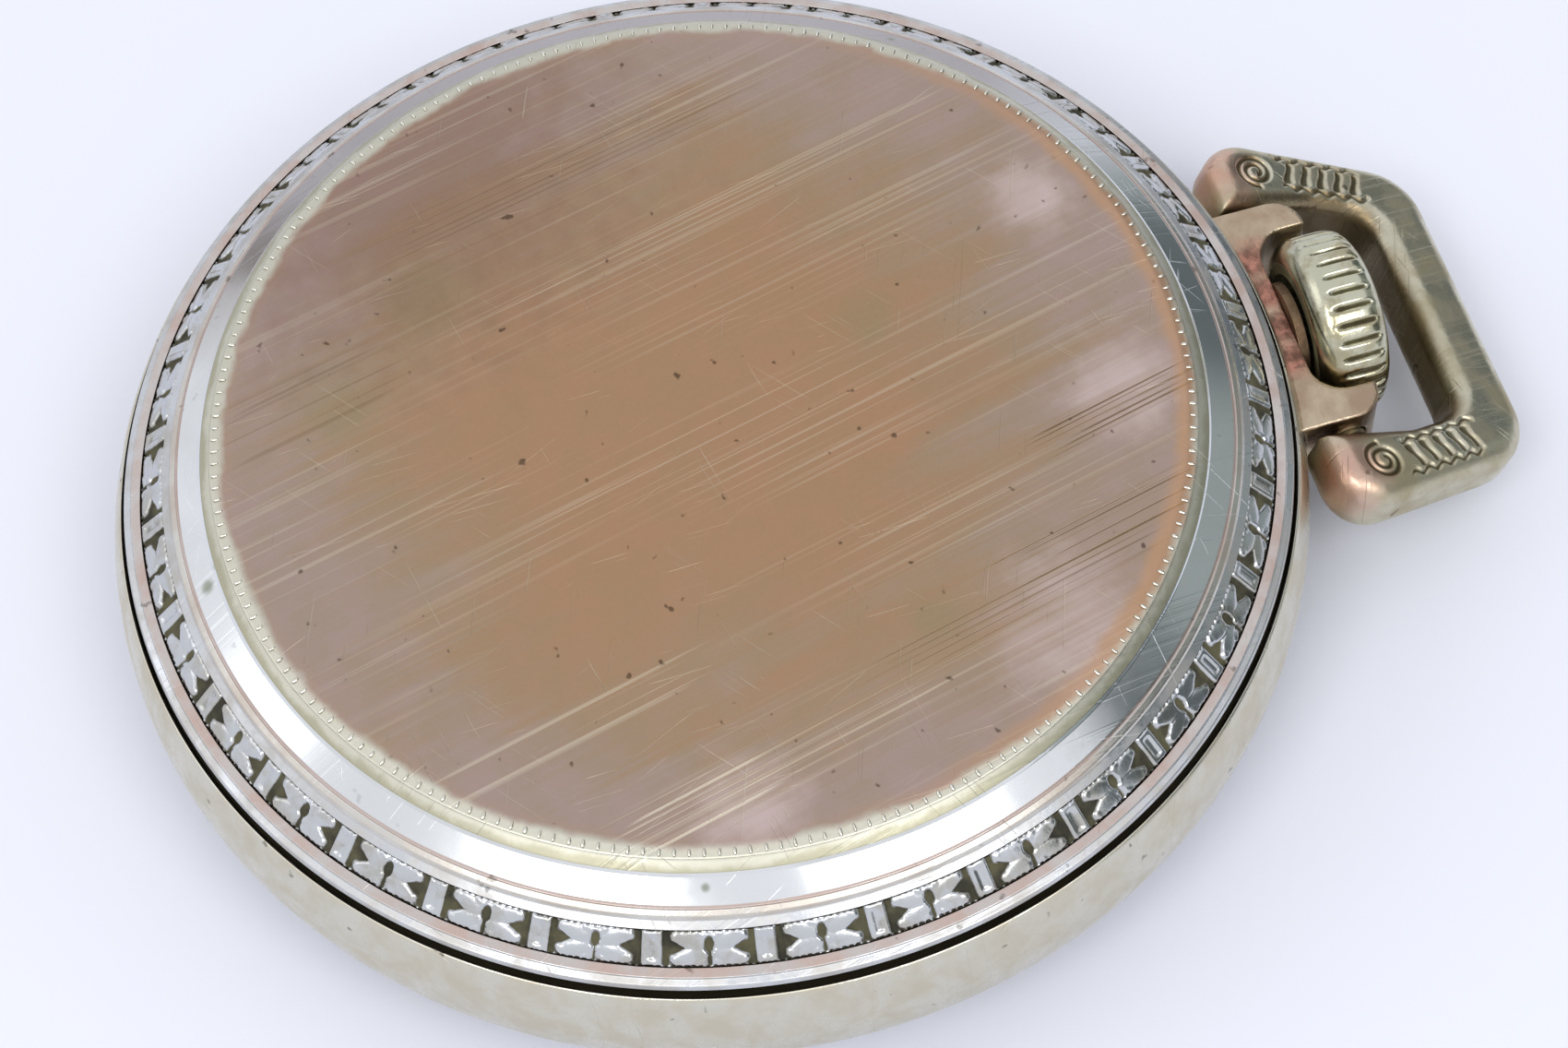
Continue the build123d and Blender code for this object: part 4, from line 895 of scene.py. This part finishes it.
makeBand()
makeBezel()
makeCrystal()
print("band, bezel and crystal made")

# crown
crownSize = {
    "base": 25.8,
    "length": 3.5,
    "radius": 3.95,
    "axis": 5.8,
    "flutes": 33,
    "fluteDepth": 0.2,
    "cavity": 2.6,
    "cavityDepth": 0.9,
}


def makeCrown():
    base, length, radius = crownSize["base"], crownSize["length"], crownSize["radius"]
    axis, cavity = crownSize["axis"], crownSize["cavity"]
    # share of the length out from the case, and share of the radius there
    stations = [
        (0.0, 0.80), (0.015, 0.84), (0.05, 0.895), (0.10, 0.945), (0.16, 0.978), (0.22, 0.993), (0.27, 0.998),
        (0.32, 1.0), (0.40, 1.0), (0.48, 1.0), (0.56, 1.0), (0.64, 0.995), (0.70, 0.985), (0.74, 0.97),
        (0.78, 0.945), (0.82, 0.905), (0.86, 0.845), (0.895, 0.76), (0.925, 0.65), (0.95, 0.52), (0.97, 0.38),
        (0.985, 0.24), (0.996, 0.10), (1.0, 0.0),
    ]
    segments = crownSize["flutes"] * 14
    turns = [2 * math.pi * k / segments for k in range(segments)]
    verts, faces, depths = [], [], []
    for along, share in stations:
        fade = max(0.0, min(1.0, (along - 0.24) / 0.06)) * max(0.0, min(1.0, (0.76 - along) / 0.06))
        y = base + along * length
        for a in turns:
            wave = (0.5 + 0.5 * math.cos(crownSize["flutes"] * a)) ** 5
            r = radius * share - crownSize["fluteDepth"] * wave * fade
            verts.append((r * math.cos(a) * mm, y * mm, (axis + r * math.sin(a)) * mm))
            depths.append(wave * fade if share > 0.5 else 0.0)
    rings = len(stations)
    floorY = base + crownSize["cavityDepth"]
    for r, y in ((0.76 * radius, base), (cavity, base), (cavity, floorY), (0, floorY)):
        for a in turns:
            verts.append((r * math.cos(a) * mm, y * mm, (axis + r * math.sin(a)) * mm))
            depths.append(0.8)
    order = [rings + 3, rings + 2, rings + 1, rings] + list(range(rings))
    for i in range(len(order) - 1):
        a, b = order[i] * segments, order[i + 1] * segments
        for k in range(segments):
            n = (k + 1) % segments
            faces.append((a + k, a + n, b + n, b + k))
    crown = makeObject("crownKnob", verts, faces, None, 60)
    depth = crown.data.attributes.new("depth", "FLOAT", "POINT")
    depth.data.foreach_set("value", np.array(depths, np.float32))
    bm = bmesh.new()
    bm.from_mesh(crown.data)
    bmesh.ops.remove_doubles(bm, verts=bm.verts, dist=1e-7)
    bmesh.ops.recalc_face_normals(bm, faces=bm.faces)
    bm.to_mesh(crown.data)
    bm.free()
    setMaterial(crown, materials["crown"])
    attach(crown, "crown")
    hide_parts("crown")


# bow and pendant, carved from fine copies of their solids
bowSize = {
    "pivotY": 26.2,
    "pivotZ": 5.8,
    "droop": 20.5,  # degrees that the bow hangs below the case's plane
    "voxel": 0.075,
    "volute": (7.75, 0.15),
    "commas": 5,
    "commaPitch": 0.76,
    "carveDepth": 0.2,
}


def fineCopy(name, node, voxel, rounds):
    mesh = nodes[node].data.copy()
    obj = bpy.data.objects.new(name, mesh)
    bpy.context.scene.collection.objects.link(obj)
    remesh = obj.modifiers.new("remesh", "REMESH")
    remesh.mode = "VOXEL"
    remesh.voxel_size = voxel * mm
    smooth = obj.modifiers.new("smooth", "CORRECTIVE_SMOOTH")
    smooth.iterations = rounds
    smooth.use_only_smooth = True
    depsgraph = bpy.context.evaluated_depsgraph_get()
    final = bpy.data.meshes.new_from_object(obj.evaluated_get(depsgraph))
    obj.modifiers.clear()
    obj.data = final
    for poly in final.polygons:
        poly.use_smooth = True
    return obj


# how deep the carving goes on the bow's broad face; x across the case, v out from the pivot
def bowCarving(x, v):
    side = np.abs(x)
    cx, cy = bowSize["volute"]
    dx, dy = side - cx, v - cy
    r = np.hypot(dx, dy)
    turn = np.degrees(np.arctan2(dy, -dx)) % 360
    spiral = 0.20 + 0.34 * turn / 360
    line = np.exp(-(((r - spiral) / 0.09) ** 2))
    line = np.maximum(line, np.exp(-(((r - spiral - 0.34) / 0.10) ** 2)))
    depth = line * (r < 0.98)
    lean = 0.245  # the leg leans in by this much for each millimetre out
    middle = 8.0 - lean * v
    u = side - middle
    along = np.clip((v - 1.1) / 0.2, 0, 1) * np.clip((5.3 - v) / 0.2, 0, 1)
    scallop = 0.10 * np.sin((v - 1.6) * 2 * math.pi / bowSize["commaPitch"])
    for border in (-0.80, 0.80):
        edge = np.exp(-(((u - border - scallop * np.sign(border)) / 0.09) ** 2))
        depth = np.maximum(depth, 0.8 * along * edge)
    for k in range(bowSize["commas"]):
        y0 = 1.75 + bowSize["commaPitch"] * k
        w = v - y0 - 0.20 * np.sin(np.clip(u / 0.62, -1, 1) * 1.6)
        width = 0.12 + 0.09 * np.clip(-u / 0.6, 0, 1)
        comma = np.exp(-((w / width) ** 2)) * np.clip((0.64 - np.abs(u)) / 0.12, 0, 1)
        depth = np.maximum(depth, comma)
    return depth


def makeBow():
    bow = fineCopy("bowLoop", "bow", bowSize["voxel"], 12)
    turn = math.radians(bowSize["droop"])
    pivot = np.array((0, bowSize["pivotY"], bowSize["pivotZ"]))
    count = len(bow.data.vertices)
    co = np.empty(count * 3)
    bow.data.vertices.foreach_get("co", co)
    points = co.reshape(-1, 3) / mm - pivot
    x = points[:, 0]
    v = points[:, 1] * math.cos(turn) - points[:, 2] * math.sin(turn)
    w = points[:, 1] * math.sin(turn) + points[:, 2] * math.cos(turn)
    faceUp = np.clip((np.abs(w) - 1.15) / 0.2, 0, 1)
    depth = bowCarving(x, v) * faceUp
    w = w - np.sign(w) * bowSize["carveDepth"] * depth
    y = v * math.cos(turn) + w * math.sin(turn)
    z = -v * math.sin(turn) + w * math.cos(turn)
    points = (np.stack([x, y, z], 1) + pivot) * mm
    bow.data.vertices.foreach_set("co", points.ravel())
    bow.data.update()
    normals = np.empty(count * 3)
    bow.data.vertices.foreach_get("normal", normals)
    normals = normals.reshape(-1, 3)
    toCrown = np.stack([-x, 3.0 - v], 1)
    toCrown /= np.linalg.norm(toCrown, axis=1)[:, None]
    inside = np.clip(normals[:, 0] * toCrown[:, 0] + normals[:, 1] * toCrown[:, 1], 0, 1)
    for label, values in (("depth", depth), ("inside", inside)):
        attribute = bow.data.attributes.new(label, "FLOAT", "POINT")
        attribute.data.foreach_set("value", values.astype(np.float32))
    setMaterial(bow, bowMaterial())
    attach(bow, "bow")
    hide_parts("bow")


def bowMaterial():
    material, net = startMaterial("bowWorn", Metallic=1.0)
    mottle = useGroup(net, tarnishGroup, Cloud_Size=1.6)
    small = useGroup(net, tarnishGroup, Cloud_Size=5.0)
    marks = useGroup(net, scratchGroup, Bundle=0.3)
    depth = net.add("ShaderNodeAttribute", attribute_name="depth").outputs["Fac"]
    color = net.mix(net.times(mottle["Clouds"], 0.8), srgb(206, 203, 184), srgb(160, 148, 112))
    color = net.mix(net.times(small["Clouds"], 0.25), color, srgb(190, 176, 150))
    # the faces turned towards the crown are darker brown
    inside = net.add("ShaderNodeAttribute", attribute_name="inside").outputs["Fac"]
    inner = net.ramp(inside, 0.08, 0.6)
    color = net.mix(net.times(inner, 0.8), color, srgb(104, 84, 52))
    for side in (-1, 1):
        worn = spotMask(net, (side * 8.0, 24.9, 6.9), 2.4)
        color = net.mix(net.times(worn, 0.75), color, srgb(206, 160, 142))
    soil = net.ramp(depth, 0.25, 0.75)
    color = net.mix(net.times(soil, 0.85), color, srgb(66, 60, 34))
    color = net.mix(net.times(small["Pits"], 0.6), color, srgb(60, 40, 24))
    net.link(color, net.shader.inputs["Base Color"])
    dirty = net.times(soil, 0.4)
    net.link(net.plus(net.ramp(mottle["Clouds"], 0, 1, 0.26, 0.46), dirty), net.shader.inputs["Roughness"])
    relief = net.plus(marks["Height"], net.times(small["Grain"], 0.6))
    addBump(net, relief, 0.00004, 0.6)
    return material


def pendantMaterial():
    material, net = startMaterial("pendantWorn", Metallic=1.0)
    mottle = useGroup(net, tarnishGroup, Cloud_Size=2.0)
    small = useGroup(net, tarnishGroup, Cloud_Size=8.0)
    color = net.mix(mottle["Clouds"], srgb(200, 184, 158), srgb(166, 144, 120))
    rot = None
    for x in (-3.0, -1.2, 0.6, 2.2):
        spot = spotMask(net, (x, 24.9, 7.5), 1.5)
        rot = spot if rot is None else net.math("MAXIMUM", rot, spot)
    scab = net.mix(small["Clouds"], srgb(196, 140, 122), srgb(110, 78, 62))
    color = net.mix(rot, color, scab)
    net.link(color, net.shader.inputs["Base Color"])
    net.link(net.ramp(rot, 0, 1, 0.28, 0.65), net.shader.inputs["Roughness"])
    net.link(net.ramp(rot, 0, 1, 1.0, 0.45), net.shader.inputs["Metallic"])
    lumps = net.times(small["Clouds"], rot)
    addBump(net, net.plus(net.times(lumps, 2.5), mottle["Grain"]), 0.00005, 0.6)
    return material


def makePendant():
    pendant = fineCopy("pendantBlock", "pendant", 0.08, 4)
    setMaterial(pendant, pendantMaterial())
    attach(pendant, "case")
    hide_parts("pendant")


makeCrown()
makeBow()
makePendant()
print("crown, bow and pendant made")

# dial side and movement
def plainMetal(name, main, second, rough=0.22, stripes=0.0):
    material, net = startMaterial(name, Metallic=1.0)
    mottle = useGroup(net, tarnishGroup, Cloud_Size=2.0)
    color = net.mix(net.times(mottle["Clouds"], 0.5), srgb(*main), srgb(*second))
    relief = mottle["Grain"]
    if stripes:
        wave = net.add("ShaderNodeTexWave", wave_type="BANDS", bands_direction="DIAGONAL")
        wave.inputs["Scale"].default_value = stripes
        net.link(net.coords, wave.inputs["Vector"])
        color = net.mix(net.times(wave.outputs["Fac"], 0.25), color, srgb(250, 248, 242))
        relief = net.plus(net.times(wave.outputs["Fac"], 2.0), relief)
    net.link(color, net.shader.inputs["Base Color"])
    net.link(net.ramp(mottle["Grain"], 0.3, 0.7, rough * 0.8, rough * 1.25), net.shader.inputs["Roughness"])
    addBump(net, relief, 0.000008, 0.5)
    return material


def enamelMaterial():
    material, net = startMaterial("dialEnamel", Roughness=0.12, Coat_Weight=0.4, Coat_Roughness=0.05)
    mottle = useGroup(net, tarnishGroup, Cloud_Size=0.8)
    color = net.mix(net.times(mottle["Clouds"], 0.35), srgb(244, 241, 232), srgb(232, 226, 212))
    net.link(color, net.shader.inputs["Base Color"])
    net.link(net.ramp(mottle["Grain"], 0.3, 0.7, 0.08, 0.16), net.shader.inputs["Roughness"])
    addBump(net, mottle["Clouds"], 0.00001, 0.3)
    return material


def rubyMaterial():
    material, net = startMaterial("ruby", Roughness=0.08, Transmission_Weight=0.6, IOR=1.76)
    mottle = useGroup(net, tarnishGroup, Cloud_Size=6.0)
    net.link(net.mix(mottle["Clouds"], srgb(190, 34, 62), srgb(150, 16, 44)), net.shader.inputs["Base Color"])
    return material


slotFinish = {
    "plates": plainMetal("nickelPlates", (206, 202, 190), (186, 178, 158), 0.24, 160.0),
    "steel": plainMetal("polishedSteel", (196, 198, 202), (170, 172, 178), 0.16),
    "hairspring": plainMetal("bluedSpring", (52, 66, 140), (36, 44, 104), 0.2),
    "hands": plainMetal("bluedHands", (38, 48, 112), (24, 30, 78), 0.18),
    "gilt": plainMetal("giltBrass", (222, 188, 112), (198, 160, 84), 0.24),
    "dial": enamelMaterial(),
    "jewels": rubyMaterial(),
    "case_nickel": materials["inside"],
    "bow_nickel": materials["inside"],
}
slotFinish["sleeve"] = wornMetal("sleeveTarnish", (140, 118, 92), (96, 74, 56), 0.8, 0.4, 0.2, 6.0, 0.00004)
slotOf = {row["node"]: row["material_slot"] for row in frame["record"]["subparts"]}
for node, obj in nodes.items():
    if slotOf[node] in slotFinish:
        setMaterial(obj, slotFinish[slotOf[node]])

setMaterial(nodes["pendant_sleeve"], slotFinish["sleeve"])
dialSize = {
    "face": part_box("dial")[0].z,  # in metres
    "numeralRing": 15.6,
    "numeralHeight": 3.1,
    "hourMark": (18.0, 18.9, 0.16),  # inner and outer end and half width
    "minuteMark": (18.3, 18.9, 0.05),
    "minuteCircles": (18.25, 18.95),
    "secondsY": -10.196,
    "secondsSunk": 0.12,
    "fiveMark": (4.0, 4.9, 0.07),
    "secondMark": (4.5, 4.9, 0.03),
    "secondCircles": (4.5, 4.95),
    "thick": 0.03,
}


def inkMaterial():
    material, net = startMaterial("dialInk", Roughness=0.35)
    mottle = useGroup(net, tarnishGroup, Cloud_Size=3.0)
    net.link(net.mix(mottle["Clouds"], srgb(18, 17, 20), srgb(34, 32, 34)), net.shader.inputs["Base Color"])
    return material


# printed marks; an hour lies clockwise as seen from the dial side, which is anticlockwise from the back
def makeDialMarks():
    ink = inkMaterial()
    verts, faces = [], []
    face = dialSize["face"]

    def dash(centre, turn, r0, r1, half):
        start = len(verts)
        c, s = math.cos(turn), math.sin(turn)
        for z in (face - dialSize["thick"] * mm, face):
            for r, w in ((r0, -half), (r1, -half), (r1, half), (r0, half)):
                verts.append(((centre[0] + r * c - w * s) * mm, (centre[1] + r * s + w * c) * mm, z))
        quads = ((0, 3, 2, 1), (4, 5, 6, 7), (0, 1, 5, 4), (1, 2, 6, 5), (2, 3, 7, 6), (3, 0, 4, 7))
        faces.extend(tuple(start + i for i in quad) for quad in quads)

    def circle(centre, r, count, half):
        reach = r * math.radians(180 / count + 0.05)
        for i in range(count):
            a = math.radians(90 + 360 / count * (i + 0.5))
            place = (centre[0] + r * math.cos(a), centre[1] + r * math.sin(a))
            dash(place, a + math.pi / 2, -reach, reach, half)

    def track(centre, mark, fifthMark):
        for i in range(60):
            dash(centre, math.radians(90 + 6 * i), *(fifthMark if i % 5 == 0 else mark))

    track((0, 0), dialSize["minuteMark"], dialSize["hourMark"])
    for r in dialSize["minuteCircles"]:
        circle((0, 0), r, 240, 0.03)
    face = dialSize["face"] + dialSize["secondsSunk"] * mm
    centre = (0, dialSize["secondsY"])
    track(centre, dialSize["secondMark"], dialSize["fiveMark"])
    for r in dialSize["secondCircles"]:
        circle(centre, r, 120, 0.025)
    marks = makeObject("dialMarks", verts, faces, "case", 0)
    for poly in marks.data.polygons:
        poly.use_smooth = False
    setMaterial(marks, ink)
    for hour in range(1, 13):
        if hour == 6:
            continue
        curve = bpy.data.curves.new(f"numeral{hour}", "FONT")
        curve.body = str(hour)
        curve.size = dialSize["numeralHeight"] * 1.35 * mm
        curve.align_x, curve.align_y = "CENTER", "CENTER"
        curve.extrude = 0.5 * dialSize["thick"] * mm
        curve.offset = 0.06 * mm
        text = bpy.data.objects.new(f"numeralText{hour}", curve)
        bpy.context.scene.collection.objects.link(text)
        bpy.context.view_layer.update()
        depsgraph = bpy.context.evaluated_depsgraph_get()
        mesh = bpy.data.meshes.new_from_object(text.evaluated_get(depsgraph))
        bpy.data.objects.remove(text)
        turn = math.radians(90 + 30 * hour)
        place = Vector((math.cos(turn), math.sin(turn), 0)) * dialSize["numeralRing"] * mm
        place.z = dialSize["face"] - 0.5 * dialSize["thick"] * mm
        mesh.transform(Matrix.Translation(place) @ Matrix.Rotation(math.pi, 4, "Y"))
        numeral = bpy.data.objects.new(f"numeral{hour}", mesh)
        bpy.context.scene.collection.objects.link(numeral)
        setMaterial(numeral, ink)
        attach(numeral, "case")


makeDialMarks()
print("dial and movement finished")

# floor, lights, camera
def stageMaterial(name, color, rough=0.9):
    material, net = startMaterial(name, Roughness=rough)
    net.shader.inputs["Base Color"].default_value = color
    net.shader.inputs["Specular IOR Level"].default_value = 0.1
    return material


def stageCard(name, middle, toward, width, height, material):
    mesh = bpy.data.meshes.new(name)
    w, h = width / 2, height / 2
    mesh.from_pydata([(-w, -h, 0), (w, -h, 0), (w, h, 0), (-w, h, 0)], [], [(0, 1, 2, 3)])
    card = bpy.data.objects.new(name, mesh)
    bpy.context.scene.collection.objects.link(card)
    card.location = middle
    card.rotation_euler = (Vector(toward) - Vector(middle)).to_track_quat("Z", "Y").to_euler()
    setMaterial(card, material)


def around(turn, lift, distance):
    a, e = math.radians(turn), math.radians(lift)
    return Vector((math.cos(a) * math.cos(e), math.sin(a) * math.cos(e), math.sin(e))) * distance


stageSize = {"floor": 1.6, "floorDrop": 0.00002, "cardDistance": 0.42}  # in metres
middle = Vector((0, 0, 0.006))
paper = stageMaterial("floorPaper", srgb(236, 238, 246))
stageCard("floor", (0, 0, -stageSize["floorDrop"]), (0, 0, 1), stageSize["floor"], stageSize["floor"], paper)


# glowing card, no lamp, of a set brightness: glossy rays see it with darker stripes across its width, a painted
# reflection for the metal, and other rays see it near white
def cardMaterial(name, pale, dark, stripes):
    material, net = startMaterial(name, Roughness=1.0)
    net.shader.inputs["Base Color"].default_value = (0, 0, 0, 1)
    net.shader.inputs["Specular IOR Level"].default_value = 0
    split = net.add("ShaderNodeSeparateXYZ")
    net.link(net.coords, split.inputs[0])
    shade = None
    for place, width in stripes:
        away = net.math("ABSOLUTE", net.minus(split.outputs[0], place))
        stripe = net.ramp(away, 0.4 * width, width, 1.0, 0.0)
        shade = stripe if shade is None else net.math("MAXIMUM", shade, stripe)
    seen = net.mix(shade, srgb(*pale), srgb(*dark))
    path = net.add("ShaderNodeLightPath")
    glow = net.mix(path.outputs["Is Glossy Ray"], srgb(222, 224, 232), seen)
    net.link(glow, net.shader.inputs["Emission Color"])
    net.shader.inputs["Emission Strength"].default_value = 1.0
    return material


sideCardGlow = cardMaterial("sideCard", (160, 168, 168), (98, 106, 108), ((-0.24, 0.16), (0.22, 0.16)))
farCardGlow = cardMaterial("farCard", (168, 164, 160), (140, 136, 134), ((0.0, 0.06),))
stageCard("sideCard", around(92, 21, stageSize["cardDistance"]), middle, 0.92, 0.37, sideCardGlow)
stageCard("farCard", around(192, 3, stageSize["cardDistance"]), middle, 0.22, 0.07, farCardGlow)


def addLight(name, turn, lift, distance, size, power, tint=(1, 1, 1)):
    light = bpy.data.lights.new(name, "AREA")
    light.shape = "SQUARE"
    light.size = size
    light.energy = power
    light.color = tint
    lamp = bpy.data.objects.new(name, light)
    bpy.context.scene.collection.objects.link(lamp)
    lamp.location = middle + around(turn, lift, distance)
    lamp.rotation_euler = (lamp.location - middle).to_track_quat("Z", "Y").to_euler()


addLight("keyLeft", 314, 54, 0.6, 0.22, 0.75)
addLight("keyRight", 22, 53.5, 0.6, 0.24, 0.75)
addLight("fill", 250, 40, 0.6, 0.3, 0.2)
world = bpy.data.worlds.new("studio")
bpy.context.scene.world = world
world.use_nodes = True
background = world.node_tree.nodes["Background"]
background.inputs["Color"].default_value = srgb(246, 248, 255)
path = world.node_tree.nodes.new("ShaderNodeLightPath")
strength = world.node_tree.nodes.new("ShaderNodeMapRange")
strength.inputs["To Min"].default_value = 0.78
strength.inputs["To Max"].default_value = 1.0
world.node_tree.links.new(path.outputs["Is Glossy Ray"], strength.inputs["Value"])
world.node_tree.links.new(strength.outputs["Result"], background.inputs["Strength"])

cameraSet = {
    "target": (4.360, 2.079, 8.8),
    "back": (0.5056, -0.1075, 0.8560),
    "right": (0.2079, 0.9781, 0.0),
    "distance": 141.28,
    "roll": -0.08165,
    "lens": 80.07,
}


def makeCamera():
    data = bpy.data.cameras.new("camera")
    data.lens = cameraSet["lens"]
    data.sensor_width = 36
    data.clip_start = 0.005
    camera = bpy.data.objects.new("camera", data)
    bpy.context.scene.collection.objects.link(camera)
    back = Vector(cameraSet["back"]).normalized()
    right = Vector(cameraSet["right"]).normalized()
    up = back.cross(right).normalized()
    c, s = math.cos(cameraSet["roll"]), math.sin(cameraSet["roll"])
    across = right * c + up * s
    upward = up * c - right * s
    matrix = Matrix((across, upward, back)).transposed().to_4x4()
    matrix.translation = (Vector(cameraSet["target"]) + back * cameraSet["distance"]) * mm
    camera.matrix_world = matrix
    bpy.context.scene.camera = camera


makeCamera()
bpy.context.scene.view_settings.view_transform = "Standard"
print("stage, lights and camera set")
